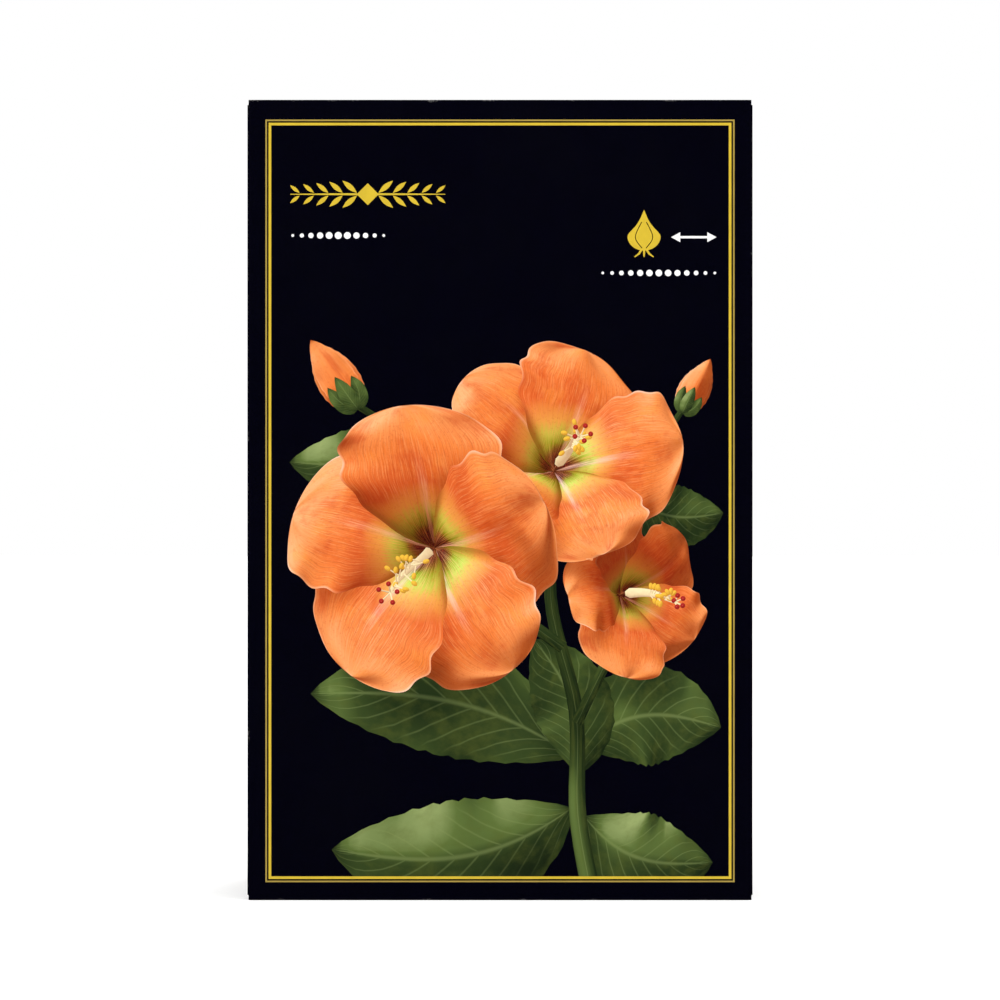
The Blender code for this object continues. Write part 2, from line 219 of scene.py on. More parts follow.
@dataclass(frozen=True)
class Effect:
    """A shader group with named inputs and outputs, built once and placed in any material."""

    name: str
    takes: dict[str, float | tuple]
    wire: Callable[..., Sockets]

    def build(self) -> bpy.types.NodeTree:
        """Make the group's node tree."""
        kinds = {1: "NodeSocketFloat", 3: "NodeSocketVector", 4: "NodeSocketColor"}
        tree = bpy.data.node_groups.new(self.name, "ShaderNodeTree")
        graph = Graph(tree)
        for name, start in self.takes.items():
            width = len(start) if isinstance(start, tuple) else 1
            socket = tree.interface.new_socket(name, in_out="INPUT", socket_type=kinds[width])
            socket.default_value = start
        inlet = tree.nodes.new("NodeGroupInput")
        made = self.wire(graph, *(Value(graph, inlet.outputs[name]) for name in self.takes))
        for name, value in made.items():
            width = 4 if value.socket.type == "RGBA" else 1
            tree.interface.new_socket(name, in_out="OUTPUT", socket_type=kinds[width])
        graph.feed(tree.nodes.new("NodeGroupOutput"), made)
        return tree

    def place(self, graph: Graph, **feeds: Feed) -> Sockets:
        """Place the group in a material, its inputs fed by name, and give its outputs by name."""
        tree = bpy.data.node_groups.get(self.name) or self.build()
        placed_group = graph.node("Group", feeds, node_tree=tree)
        return {socket.name: Value(graph, socket) for socket in placed_group.outputs}


def wire_corner_rub(graph: Graph, *takes: Value) -> Sockets:
    """Mask of rubbed ink along the carton's edges, from the distance to them."""
    place, reach, strength = takes
    gaps = []
    for part, a, b in zip(place.parts(), *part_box("carton_sleeve")):
        gaps.append(graph.math("SUBTRACT", (b - a) / 2.0, abs(part - (a + b) / 2.0)))
    upper = graph.math("MAXIMUM", *gaps[:2])
    edge = graph.math("MAXIMUM", graph.math("MINIMUM", *gaps[:2]), graph.math("MINIMUM", upper, gaps[2]))
    patches = graph.noise(place, 160.0, 4.0, 0.65).span(0.42, 0.75)
    specks = graph.noise(place, 2600.0, 2.0, 0.6).span(0.46, 0.62)
    worn = (reach * patches - edge).span(0.0, 0.0005) * specks
    return {"Mask": graph.math("MULTIPLY", worn, strength, clamp=True)}


def wire_film(graph: Graph, *takes: Value) -> Sockets:
    """Relief and gloss of the film over the print: ripple, fine grain, smudges and dust."""
    place, ripple, smudge = takes
    height = graph.noise(place, 55.0, 1.0) * ripple + graph.noise(place, 900.0, 2.0, 0.6) * 0.012
    smudged = graph.noise(place, 38.0, 4.0, 0.7).span(0.4, 0.75)
    dust = graph.noise(place, 5200.0, 1.0).span(0.735, 0.8)
    return {"Height": height, "Roughness": smudged * smudge + 0.2, "Dust": dust}


def wire_fibre(graph: Graph, *takes: Value) -> Sockets:
    """Colour and relief of bare board: a soft cloud, short fibres and a few dark flecks."""
    place, colour, deep = takes
    warp = graph.out("TexNoise", {"Vector": place, "Scale": 420.0, "Detail": 2.0}, 1)
    bent = graph.out("VectorMath", {0: place, 1: warp.stretch(0.004, 0.004, 0.004)}, operation="ADD")
    strands = graph.noise(bent.stretch(1.0, 2.6, 0.7), 1500.0, 3.0, 0.7)
    flecks = graph.noise(bent, 1900.0, 1.0).span(0.7, 0.78)
    cloud = graph.noise(place, 90.0, 3.0).span(0.25, 0.75, 0.62, 0.92)
    fibred = graph.mix(strands.span(0.4, 0.7, 0.0, 0.5), graph.mix(cloud, deep, colour), deep)
    return {"Colour": graph.mix(flecks * 0.45, fibred, (0.2, 0.15, 0.1)), "Height": strands}


def wire_petal(graph: Graph, *takes: Value) -> Sockets:
    """Printed petal: dark eye, yellow star, veins, pale rim and the light that it was lit by."""
    grain, place, light, back, seed = takes
    along, across, _ = grain.parts()
    side = abs(across)
    wobble = graph.noise(graph.join(along * 3.0, across, seed), 2.2, 2.0)
    ring = along - 0.035 + (side * 0.2 + wobble * 0.07)
    silk = graph.noise(graph.join(along * 6.0, across * 60.0, seed), 1.0, 4.0, 0.65)
    body = graph.ramp(
        ring + (silk - 0.5) * 0.16,
        (0.0, 0.05, 0.002, 0.005), (0.12, 0.09, 0.003, 0.006), (0.17, 0.18, 0.075, 0.005),
        (0.21, 0.3, 0.33, 0.012), (0.28, 0.56, 0.52, 0.06), (0.36, 0.8, 0.33, 0.055),
        (0.5, 0.72, 0.115, 0.018), (0.78, 0.83, 0.2, 0.036), (1.0, 0.87, 0.29, 0.085),
    )
    patchy = graph.noise(graph.join(along * 2.4, across, seed), 1.7, 3.0, 0.6)
    ruddy = graph.mix(patchy.span(0.5, 0.7, 0.0, 0.6), body, (0.64, 0.075, 0.011))
    amber = graph.mix(patchy.span(0.48, 0.3, 0.0, 0.6), ruddy, (0.87, 0.255, 0.04))
    made = graph.mix(ring.span(0.4, 0.5), body, amber)
    bent = across * 11.0 + wobble * 1.2
    broad = bent.to_whole().span(0.0, 0.085, 1.0, 0.0)
    thin = (bent * 2.6).to_whole().span(0.0, 0.12, 1.0, 0.0) * along.span(0.45, 0.75, 0.25, 0.95)
    dashes = graph.noise(graph.join(along * 11.0, bent, seed), 1.0, 3.0, 0.6).span(0.34, 0.6, 0.2, 1.0)
    spread = along.span(0.2, 0.45) * along.span(0.98, 0.72)
    veins = graph.math("MAXIMUM", broad, thin) * dashes * (spread * 0.46)
    made = graph.mix(veins, made, (0.43, 0.048, 0.012))
    made = graph.mix(silk.span(0.44, 0.72, 0.0, 0.58), made, (0.89, 0.35, 0.12))
    grainy = graph.noise(place, 2100.0, 2.0, 0.7)
    made = graph.mix(grainy.span(0.52, 0.72, 0.0, 0.3), made, (0.56, 0.08, 0.018))
    rib = side.span(0.0, 0.085, 1.0, 0.0) * along.span(0.75, 0.2) * silk.span(0.38, 0.62, 0.22, 0.74)
    made = graph.mix(rib, made, (0.9, 0.47, 0.32))
    rim = graph.math("MAXIMUM", side.span(0.955, 1.0), along.span(0.982, 1.0))
    rim = rim * along.span(0.35, 0.6, 0.0, 0.75)
    made = graph.mix(rim, made, (0.93, 0.47, 0.26))
    made = graph.mix(back * 0.5, made, (0.85, 0.33, 0.12))
    shade = graph.ramp(
        light,
        (0.0, 0.12, 0.045, 0.025), (0.3, 0.45, 0.26, 0.15), (0.58, 0.83, 0.72, 0.62),
        (0.78, 1.0, 1.0, 1.0), (1.0, 1.1, 1.42, 2.0),
    )
    return {"Colour": graph.mix(1.0, made, shade, "MULTIPLY")}


def wire_leaf(graph: Graph, *takes: Value) -> Sockets:
    """Printed leaf: midrib, slanting side veins, mottled blade and its light."""
    grain, light, seed, veins = takes
    along, across, _ = grain.parts()
    side = abs(across)
    mottle = graph.noise(graph.join(along * 4.0, across, seed), 2.6, 4.0, 0.6)
    blade = graph.ramp(
        light,
        (0.0, 0.002, 0.004, 0.002), (0.35, 0.012, 0.023, 0.006), (0.65, 0.036, 0.06, 0.013),
        (0.85, 0.1, 0.15, 0.034), (1.0, 0.28, 0.35, 0.125),
    )
    mottled = graph.mix(mottle.span(0.4, 0.75, 0.0, 0.35), blade, (0.085, 0.105, 0.016))
    waves = ((along - side * 0.3) * 10.0).to_whole()
    lines = waves.span(0.0, 0.1, 1.0, 0.0) * side.span(1.0, 0.6) * veins
    rib = side.span(0.0, 0.07, 1.0, 0.0)
    pale = graph.math("MAXIMUM", lines, rib) * light.span(0.1, 0.7, 0.06, 0.4)
    return {"Colour": graph.mix(pale, mottled, (0.21, 0.27, 0.085))}


def wire_husk(graph: Graph, *takes: Value) -> Sockets:
    """Dry bulb skin: long fibres, darker veins, thin bright places and its relief."""
    grain, seed, colour, deep, pale = takes
    drift = graph.noise(grain.stretch(14.0, 5.0, 1.0), 1.0, 3.0, 0.6)
    x, y, _ = grain.parts()
    bent = graph.join(x + drift * 0.006, y, seed)
    broad = graph.noise(bent.stretch(95.0, 7.0, 1.0), 1.0, 3.0, 0.55)
    fine = graph.noise(bent.stretch(620.0, 20.0, 1.0), 1.0, 3.0, 0.6)
    cloud = graph.noise(bent.stretch(34.0, 26.0, 1.0), 1.0, 4.0, 0.65)
    lines = (broad * 9.0 + 0.5).to_whole().span(0.0, 0.12, 1.0, 0.0)
    made = graph.mix(cloud.span(0.3, 0.62), deep, colour)
    made = graph.mix(broad.span(0.4, 0.66, 0.0, 0.85), made, pale)
    made = graph.mix(lines * 0.62, made, deep)
    made = graph.mix(fine.span(0.42, 0.66, 0.0, 0.62), made, deep)
    height = lines * 0.5 + fine * 0.6 + broad * 1.2
    return {"Colour": made, "Height": height, "Roughness": broad.span(0.3, 0.75, 0.4, 0.66)}


def wire_wood(graph: Graph, *takes: Value) -> Sockets:
    """Shaved pale wood: growth rings cut lengthwise, pores and torn fibres."""
    grain, colour, late = takes
    rings = graph.noise(grain.stretch(9.0, 160.0, 1.0), 1.0, 3.0, 0.5)
    pores = graph.noise(grain.stretch(60.0, 1500.0, 1.0), 1.0, 2.0, 0.6)
    body = graph.mix(rings.span(0.36, 0.66), colour, late)
    colour = graph.mix(pores.span(0.55, 0.75, 0.0, 0.35), body, (0.36, 0.2, 0.085))
    return {"Colour": colour, "Height": rings + pores}


ORIGIN = (0.0, 0.0, 0.0)
GREY = (0.5, 0.5, 0.5, 1.0)
CORNER_RUB = Effect("corner rub", {"Place": ORIGIN, "Reach": 0.0007, "Strength": 0.3}, wire_corner_rub)
FILM = Effect("gloss film", {"Place": ORIGIN, "Ripple": 0.25, "Smudge": 0.05}, wire_film)
FIBRE = Effect("board fibre", {"Place": ORIGIN, "Colour": GREY, "Deep": GREY}, wire_fibre)
PETAL_SKIN = Effect(
    "petal skin", {"Grain": ORIGIN, "Place": ORIGIN, "Light": 0.7, "Back": 0.0, "Seed": 0.0}, wire_petal
)
LEAF_SKIN = Effect("leaf skin", {"Grain": ORIGIN, "Light": 0.7, "Seed": 0.0, "Veins": 0.7}, wire_leaf)
HUSK = Effect(
    "dry husk", {"Grain": ORIGIN, "Seed": 0.0, "Colour": GREY, "Deep": GREY, "Pale": GREY}, wire_husk
)
WOOD = Effect("shaved wood", {"Grain": ORIGIN, "Colour": GREY, "Late": GREY}, wire_wood)
SEED_SPAN = 40.0


# Finishes


@dataclass(frozen=True)
class Finish:
    """Base of every finish: a named material, made once."""

    name: str

    def material(self) -> bpy.types.Material:
        """The finish's material, built on first use."""
        made = bpy.data.materials.get(self.name)
        if made is None:
            made = bpy.data.materials.new(self.name)
            made.use_nodes = True
            graph = Graph(made.node_tree)
            graph.feed(made.node_tree.nodes["Principled BSDF"], self.dress(graph))
        return made

    def dress(self, graph: Graph) -> Feeds:
        """What the inputs of the Principled shader take."""
        raise NotImplementedError


@dataclass(frozen=True)
class PrintedInk(Finish):
    """Ink on coated board under gloss film, rubbed a little along the carton's edges."""

    colour: Colour = (0.5, 0.5, 0.5)
    mottle: float = 0.06

    def ink_colour(self, graph: Graph) -> Value:
        """The ink's colour, a little uneven."""
        patchy = graph.noise(graph.place(), 240.0, 3.0, 0.6)
        light = tuple(min(1.0, part * (1.0 + self.mottle)) for part in self.colour)
        deep = tuple(part * (1.0 - self.mottle) for part in self.colour)
        return graph.mix(patchy.span(0.3, 0.7), deep, light)

    def dress(self, graph: Graph) -> Feeds:
        """Lay the film, the rubbed edges and the dust over the ink."""
        place = graph.place()
        film = FILM.place(graph, Place=place)
        rub = CORNER_RUB.place(graph, Place=place)["Mask"]
        dusty = graph.mix(film["Dust"] * 0.02, self.ink_colour(graph), (0.6, 0.6, 0.6))
        return {
            "Base Color": graph.mix(rub, dusty, (0.62, 0.6, 0.56)),
            "Roughness": rub * 0.4 + film["Roughness"],
            "Normal": graph.relief(film["Height"], 0.0004, 0.35),
            "Specular IOR Level": 0.28,
        }


@dataclass(frozen=True)
class PetalInk(PrintedInk):
    """Printed petals, shaded by the tone attribute."""

    def ink_colour(self, graph: Graph) -> Value:
        """The petal's skin."""
        light, back, seed = graph.tone()
        feeds = {"Grain": graph.grain(), "Place": graph.place(), "Light": light, "Back": back}
        return PETAL_SKIN.place(graph, Seed=seed * SEED_SPAN, **feeds)["Colour"]


@dataclass(frozen=True)
class LeafInk(PrintedInk):
    """Printed leaves or stems, shaded by the tone attribute."""

    veins: float = 0.7

    def ink_colour(self, graph: Graph) -> Value:
        """The leaf's skin."""
        light, _, seed = graph.tone()
        feeds = {"Grain": graph.grain(), "Light": light, "Veins": self.veins}
        return LEAF_SKIN.place(graph, Seed=seed * SEED_SPAN, **feeds)["Colour"]


@dataclass(frozen=True)
class TonedInk(PrintedInk):
    """Small printed things of one colour, shaded by the tone attribute."""

    def ink_colour(self, graph: Graph) -> Value:
        """The colour, darker and warmer away from the light."""
        deep = tuple(part * share for part, share in zip(self.colour, (0.5, 0.3, 0.25)))
        lit = graph.tone()[0] + (graph.noise(graph.place(), 1400.0, 2.0) - 0.5) * 0.3
        return graph.mix(graph.math("MINIMUM", lit, 1.0), deep, self.colour)


@dataclass(frozen=True)
class BareBoard(Finish):
    """Unprinted face or cut edge of the board."""

    colour: Colour = (0.6, 0.54, 0.44)
    deep: Colour = (0.44, 0.38, 0.29)

    def dress(self, graph: Graph) -> Feeds:
        """Fibres in colour and relief."""
        fibre = FIBRE.place(graph, Place=graph.place(), Colour=self.colour, Deep=self.deep)
        relief = graph.relief(fibre["Height"], 0.00012, 0.5)
        return {"Base Color": fibre["Colour"], "Roughness": 0.82, "Normal": relief}


@dataclass(frozen=True)
class Husk(Finish):
    """Papery or fleshy skin of the bulb."""

    colour: Colour = (0.42, 0.185, 0.058)
    deep: Colour = (0.13, 0.045, 0.016)
    pale: Colour = (0.68, 0.42, 0.19)
    depth: float = 0.00055
    sheen: float = 0.1

    def dress(self, graph: Graph) -> Feeds:
        """Fibres in colour, gloss and relief, with the deep colour mixed in where the tone's light value is
        low.
        """
        light, _, seed = graph.tone()
        feeds = {"Colour": self.colour, "Deep": self.deep, "Pale": self.pale}
        husk = HUSK.place(graph, Grain=graph.grain(), Seed=seed * SEED_SPAN, **feeds)
        return {
            # Painted shade where the tone's light value is low deep inside the neck. The same mix darkens the
            # body towards its foot and the tunics along their torn edges.
            "Base Color": graph.mix(light, graph.mix(0.55, husk["Colour"], self.deep), husk["Colour"]),
            "Roughness": husk["Roughness"],
            "Sheen Weight": self.sheen,
            "Normal": graph.relief(husk["Height"], self.depth, 0.6),
        }


@dataclass(frozen=True)
class ShavedWood(Finish):
    """Thin curled shavings of pale wood."""

    colour: Colour = (0.86, 0.68, 0.43)
    late: Colour = (0.66, 0.43, 0.2)

    def dress(self, graph: Graph) -> Feeds:
        """Growth rings and pores, each shaving a little lighter or darker at random; a low tone, as on the
        bed under the curls, paints shade.
        """
        light, _, seed = graph.tone()
        wood = WOOD.place(graph, Grain=graph.grain(), Colour=self.colour, Late=self.late)
        toned = graph.mix(seed * 0.6, wood["Colour"], (0.93, 0.82, 0.62))
        return {
            # The tone's light value mixes in dark brown: random per shaving on the curls, painted shade on
            # the bed.
            "Base Color": graph.mix(light, (0.42, 0.28, 0.14), toned),
            "Roughness": 0.72,
            "Normal": graph.relief(wood["Height"], 0.00015, 0.6),
        }


@dataclass(frozen=True)
class PaleFloor(Finish):
    """Near-white studio floor with a trace of its own light."""

    def dress(self, graph: Graph) -> Feeds:
        """Barely uneven white."""
        tint = graph.mix(graph.noise(graph.place(), 3.0, 2.0), (0.93, 0.93, 0.93), (0.96, 0.96, 0.96))
        plain = {"Emission Strength": 0.2, "Roughness": 0.9, "Specular IOR Level": 0.0}
        return {"Base Color": tint, "Emission Color": tint, **plain}


class Ink(Enum):
    """The carton's inks, each with its finish."""

    BLACK = PrintedInk("black ink", (0.0004, 0.0003, 0.0036), 0.08)
    GOLD = PrintedInk("gold ink", (0.61, 0.43, 0.033), 0.05)
    TAN_GOLD = PrintedInk("tan gold ink", (0.35, 0.25, 0.052), 0.05)
    WHITE = PrintedInk("white ink", (0.86, 0.855, 0.84), 0.02)
    PETAL = PetalInk("petal ink")
    LEAF = LeafInk("leaf ink")
    STEM = LeafInk("stem ink", veins=0.0)
    STAMEN = TonedInk("stamen ink", (0.9, 0.74, 0.42))
    ANTHER = TonedInk("anther ink", (0.86, 0.5, 0.045))
    STIGMA = TonedInk("stigma ink", (0.42, 0.02, 0.018))
    COATING = PrintedInk("white coating", (0.74, 0.735, 0.72), 0.02)


BOARD_BACK = BareBoard("board back")
BOARD_EDGE = BareBoard("board edge", (0.7, 0.67, 0.6), (0.58, 0.54, 0.46))


# Flat shapes and surfaces that are printed


@dataclass
class Patch:
    """A printed shape: its flat points and faces, and what its ink needs at each point."""

    ink: Ink
    layer: int
    points: Array
    faces: list[Sequence[int]]
    rank: int = 0
    depth: Array | None = None
    grain: Array | None = None
    tone: Array | None = None


def unit(ways: Array) -> Array:
    """Vectors brought to length one."""
    return ways / np.maximum(np.linalg.norm(ways, axis=-1, keepdims=True), 1e-9)


def leftward(ways: Array) -> Array:
    """Flat vectors turned a quarter turn to their left."""
    return np.stack((-ways[..., 1], ways[..., 0]), axis=-1)


def cross(a: Array, b: Array) -> Array:
    """Flat cross product of two arrays of vectors."""
    return a[..., 0] * b[..., 1] - a[..., 1] * b[..., 0]


def turned_by(x: Array, y: Array, turn: Array | float) -> tuple[Array, Array]:
    """X and y turned about the origin."""
    return x * np.cos(turn) - y * np.sin(turn), x * np.sin(turn) + y * np.cos(turn)


def gridded(*parts: Array | float) -> Array:
    """Grid of vectors from each of their parts, single rows and columns spread over it."""
    return np.stack(np.broadcast_arrays(*parts), axis=-1)


def grid_quads(rows: int, columns: int) -> Array:
    """Quads of a grid of points, counted row by row."""
    first = (np.arange(rows - 1)[:, None] * columns + np.arange(columns - 1)).ravel()
    return np.stack((first, first + columns, first + columns + 1, first + 1), axis=1)


def placed(points: Iterable[Point], centre: Point, size: float) -> list[Point]:
    """Points drawn about the origin, scaled and moved to a centre."""
    return [(centre[0] + size * x, centre[1] + size * y) for x, y in points]


def circle(centre: Point, radius: float, sides: int = 40) -> list[Point]:
    """Points round a circle."""
    return placed([(cos(tau * i / sides), sin(tau * i / sides)) for i in range(sides)], centre, radius)


def rectangle(low: Point, high: Point) -> list[Point]:
    """Corners of an upright rectangle, counterclockwise from its lowest left."""
    return [(low[0], low[1]), (high[0], low[1]), (high[0], high[1]), (low[0], high[1])]


def polygon(ink: Ink, layer: int, points: Sequence[Point]) -> Patch:
    """A filled flat polygon."""
    return Patch(ink, layer, np.array(points, float), [range(len(points))])


def band(ink: Ink, layer: int, outer: Sequence[Point], inner: Sequence[Point]) -> Patch:
    """The band between two outlines with as many points each."""
    count = len(outer)
    quads = [(i, (i + 1) % count, count + (i + 1) % count, count + i) for i in range(count)]
    return Patch(ink, layer, np.array([*outer, *inner], float), quads)


def stroke(
    ink: Ink, layer: int, path: Sequence[Point], widths: Sequence[float], closed: bool = False
) -> Patch:
    """A line of changing width along a path.

    Args:
        ink: What it is printed with.
        layer: Its place in the print's stack.
        path: Points of its centre line.
        widths: Width at each point, or one width for all.
        closed: Whether the last point joins the first.

    Returns:
        The printed line.
    """
    line = np.array([*path, *path[:1]] if closed else path, float)
    steps = unit(np.diff(line, axis=0))
    before = np.concatenate((steps[-1:] if closed else steps[:1], steps))
    after = np.concatenate((steps, steps[:1] if closed else steps[-1:]))
    middle = unit(before + after)
    reach = 0.5 * np.array(widths, float) / np.maximum((middle * before).sum(axis=1), 0.3)
    normal = leftward(middle) * reach[:, None]
    count = len(line)
    quads = [(i, count + i, count + i + 1, i + 1) for i in range(count - 1)]
    return Patch(ink, layer, np.concatenate((line + normal, line - normal)), quads)


def smooth_path(points: Sequence[Sequence[float]], steps: int) -> Array:
    """Points on a smooth curve through the given ones."""
    line = np.array(points, float)
    padded = np.concatenate((line[:1], line, line[-1:]))
    curve = []
    for a, b, c, d in zip(padded, padded[1:], padded[2:], padded[3:]):
        for t in np.arange(steps) / steps:
            bend = (2.0 * a - 5.0 * b + 4.0 * c - d) * t**2 + (3.0 * b - a - 3.0 * c + d) * t**3
            curve.append(0.5 * (2.0 * b + (c - a) * t + bend))
    return np.array(curve + [line[-1]])


@dataclass
class Surface:
    """A curved surface that is seen flat: points towards the eye, grain, and its ink."""

    ink: Ink
    layer: int
    points: Array
    grain: Array
    rank: int = 0
    seed: float = 0.5
    casts: bool = True
    catches: bool = True
    light: Array | None = None
    back: Array | None = None

    def triangles(self) -> Array:
        """The grid's triangles."""
        quads = grid_quads(*self.points.shape[:2])
        return np.concatenate((quads[:, [0, 1, 2]], quads[:, [0, 2, 3]]))

    def patch(self) -> Patch:
        """The surface as a printed shape, its faces all turned the same way."""
        flat = self.points.reshape(-1, 3)
        faces = self.triangles()
        a, b, c = (flat[faces[:, k], :2] for k in range(3))
        area = cross(b - a, c - a)
        faces[area < 0.0] = faces[area < 0.0][:, ::-1]
        faces = list(faces[np.abs(area) > 2e-5])
        grain, tone = self.grain.reshape(-1, 2), gridded(self.light.ravel(), self.back.ravel(), self.seed)
        return Patch(self.ink, self.layer, flat[:, :2], faces, self.rank, flat[:, 2], grain, tone)


@dataclass(frozen=True)
class PictureLight:
    """The light that the printed picture was lit by, and its soft shadows."""

    direction: Colour = (-0.46, 0.6, 0.65)
    ambient: float = 0.27
    direct: float = 0.73
    shadow: float = 0.7
    cone: float = 0.3
    rays: int = 14

    def shade(self, surfaces: list[Surface]) -> None:
        """Give every surface its light and its back, from its normals and from what stands before it."""
        sun = Vector(self.direction).normalized()
        draw = Random(5)
        strays = [Vector([draw.uniform(-1.0, 1.0) for _ in range(3)]) for _ in range(self.rays)]
        aims = [(sun + stray * self.cone).normalized() for stray in strays]
        verts, tris = [], []
        for surface in (s for s in surfaces if s.casts):
            tris += (surface.triangles() + len(verts)).tolist()
            verts += surface.points.reshape(-1, 3).tolist()
        tree = BVHTree.FromPolygons(verts, tris)
        for surface in surfaces:
            normals = unit(np.cross(np.gradient(surface.points, axis=0), np.gradient(surface.points, axis=1)))
            back = normals[..., 2] < 0.0
            facing = np.where(back[..., None], -normals, normals)
            lit = np.clip(facing @ np.array(sun), 0.0, 1.0)
            blocked = np.zeros(lit.shape)
            if surface.catches:
                hits = []
                for point, way in zip(surface.points.reshape(-1, 3), facing.reshape(-1, 3)):
                    start = Vector(point + 0.7 * way)
                    hits.append(sum(tree.ray_cast(start, aim, 30.0)[0] is not None for aim in aims))
                blocked = soften(np.array(hits).reshape(lit.shape) / self.rays, 2)
            glow = self.ambient * (1.0 + 0.25 * facing[..., 1]) * (1.0 - 0.35 * blocked)
            surface.light = np.clip(glow + self.direct * lit**0.85 * (1.0 - self.shadow * blocked), 0.0, 1.0)
            surface.back = back.astype(float)


def soften(values: Array, passes: int) -> Array:
    """Values of a grid, each averaged with its neighbours a number of times."""
    rows, columns = values.shape
    for _ in range(passes):
        padded = np.pad(values, 1, mode="edge")
        values = sum(padded[i : i + rows, k : k + columns] for i in range(3) for k in range(3)) / 9.0
    return values


PETALS = 5


@dataclass(frozen=True)
class Bloom:
    """An open blossom of five broad petals, each lying over the next."""

    centre: Point
    size: float
    lean: Point
    spin: float
    height: float
    layer: int
    seed: int
    rows: int = 46
    columns: int = 25

    def turned(self, points: Array) -> Array:
        """Points of the blossom's own frame, leaned and set in the picture."""
        (ca, cb), (sa, sb) = np.cos(self.lean), np.sin(self.lean)
        about_x = np.array(((1, 0, 0), (0, ca, -sa), (0, sa, ca)))
        about_y = np.array(((cb, 0, sb), (0, 1, 0), (-sb, 0, cb)))
        return points @ (about_y @ about_x).T + np.array((*self.centre, self.height))

    def petal(self, index: int) -> Surface:
        """One petal: narrow in the throat, broad and ruffled outside, its tip rolled back."""
        draw = Random(self.seed * 10 + index)
        u = 1.0 - (1.0 - np.linspace(0.0, 1.0, self.rows)[:, None]) ** 1.5
        v = 0.45 * np.sin(np.linspace(-0.5 * pi, 0.5 * pi, self.columns))
        v = v + 0.55 * np.linspace(-1.0, 1.0, self.columns)
        azimuth = self.spin + tau * index / PETALS + draw.uniform(-0.07, 0.07)
        length = draw.uniform(0.93, 1.05)
        half = draw.uniform(0.5, 0.57)
        phases = [draw.uniform(0.0, tau) for _ in range(4)]
        swell = u**1.32
        width = 2.0 * np.sqrt(np.maximum(swell * (1.0 - swell), 0.0))
        calm = np.minimum(1.0, 1.4 * width) ** 1.5
        edge = np.abs(v)
        wave = np.sin(5.2 * pi * u + 1.3 * np.sign(v) + phases[0])
        off = v * width * half * (1.0 + 0.035 * edge * np.sin(9.0 * pi * u + phases[1]))
        reach = length * (0.002 + 0.998 * u) + 0.022 * calm * u**5 * np.sin(6.5 * v + phases[2])
        rise = -0.46 * (1.0 - u) ** 2.3 - draw.uniform(0.05, 0.15) * u**3.0
        rise = rise + 0.17 * v * width - 0.1 * edge**2 * width
        rise = rise + calm * (0.06 * edge**2.0 * wave * u + 0.034 * u**4 * np.sin(7.0 * v + phases[3]))
        rise = rise - 0.03 * np.exp(-((v / 0.1) ** 2)) * (1.0 - u)
        grid = gridded(*turned_by(reach, off, azimuth + 0.16 * u**2), rise) * self.size
        return Surface(Ink.PETAL, self.layer, self.turned(grid), gridded(u, v), index, draw.random())

    def thread(self, layer: int, foot: Array, way: Array, share: float, thick: float) -> Surface:
        """A thin thread from its foot, with its middle point at a share of its run."""
        ends = self.turned(np.stack((foot, foot + share * way, foot + way)))
        return tube(Ink.STAMEN, layer, ends, np.array((thick, thick - 0.04, thick - 0.06)), 4, False)

    def column(self, layer: int) -> list[Surface]:
        """The pale column that stands out of the eye, with its stamens and stigma."""
        draw = Random(self.seed + 77)
        u = np.linspace(0.0, 1.0, 15)
        sag = np.stack((0.03 * np.sin(5.0 * u), -0.2 * u**2, -0.36 + 1.02 * u), axis=1) * self.size
        girth = np.interp(u, (0.0, 0.07, 1.0), (0.5, 1.2, 0.45))
        made = [tube(Ink.STAMEN, layer, self.turned(sag), girth, 7)]
        for place in range(layer + 1, layer + 31, 2):
            at = 0.42 + 0.5 * ((place - layer - 1) // 2 + draw.uniform(0.0, 0.8)) / 15.0
            turn = draw.uniform(0.0, tau)
            foot = np.array([np.interp(at, u, sag[:, k]) for k in range(3)])
            out = np.array((cos(turn), sin(turn), 0.45)) * self.size * draw.uniform(0.07, 0.115)
            made.append(self.thread(place, foot, out, 0.6, 0.2))
            made.append(bead(Ink.ANTHER, place + 1, self.turned(foot + out), (0.85, 0.55), turn))
        for i in range(PETALS):
            turn = tau * i / PETALS + self.spin
            out = np.array((cos(turn) * 0.07, sin(turn) * 0.07, 0.075)) * self.size
            made.append(self.thread(layer + 31 + 2 * i, sag[-1], out, 0.5, 0.22))
            made.append(bead(Ink.STIGMA, layer + 32 + 2 * i, self.turned(sag[-1] + out), (0.62, 0.62), 0.0))
        return made


def tube(ink: Ink, layer: int, spine: Array, radii: Array, columns: int, casts: bool = True) -> Surface:
    """The near half of a round stalk along a spine."""
    turns = np.linspace(-0.5 * pi, 0.5 * pi, columns)
    side = leftward(unit(np.gradient(spine[:, :2], axis=0)))
    flat = spine[:, None, :2] + side[:, None, :] * (radii[:, None] * np.sin(turns))[:, :, None]
    near = spine[:, None, 2] + radii[:, None] * np.cos(turns)
    grid = np.concatenate((flat, near[:, :, None]), axis=2)
    grain = gridded(np.linspace(0.0, 1.0, len(spine))[:, None], np.sin(turns))
    return Surface(ink, layer, grid, grain, seed=0.3, casts=casts, catches=ink is Ink.STEM)


def bead(ink: Ink, layer: int, centre: Array, radii: Point, turn: float) -> Surface:
    """The near half of a small egg-shaped thing."""
    rings = np.sin(np.linspace(0.06, 0.5 * pi, 4))[:, None]
    turns = np.linspace(0.0, tau, 13)
    flat = turned_by(radii[0] * rings * np.cos(turns), radii[1] * rings * np.sin(turns), turn)
    grid = gridded(*flat, radii[1] * np.sqrt(np.maximum(1.0 - rings**2, 0.0))) + centre
    return Surface(ink, layer, grid, gridded(rings, turns), casts=False, catches=False)


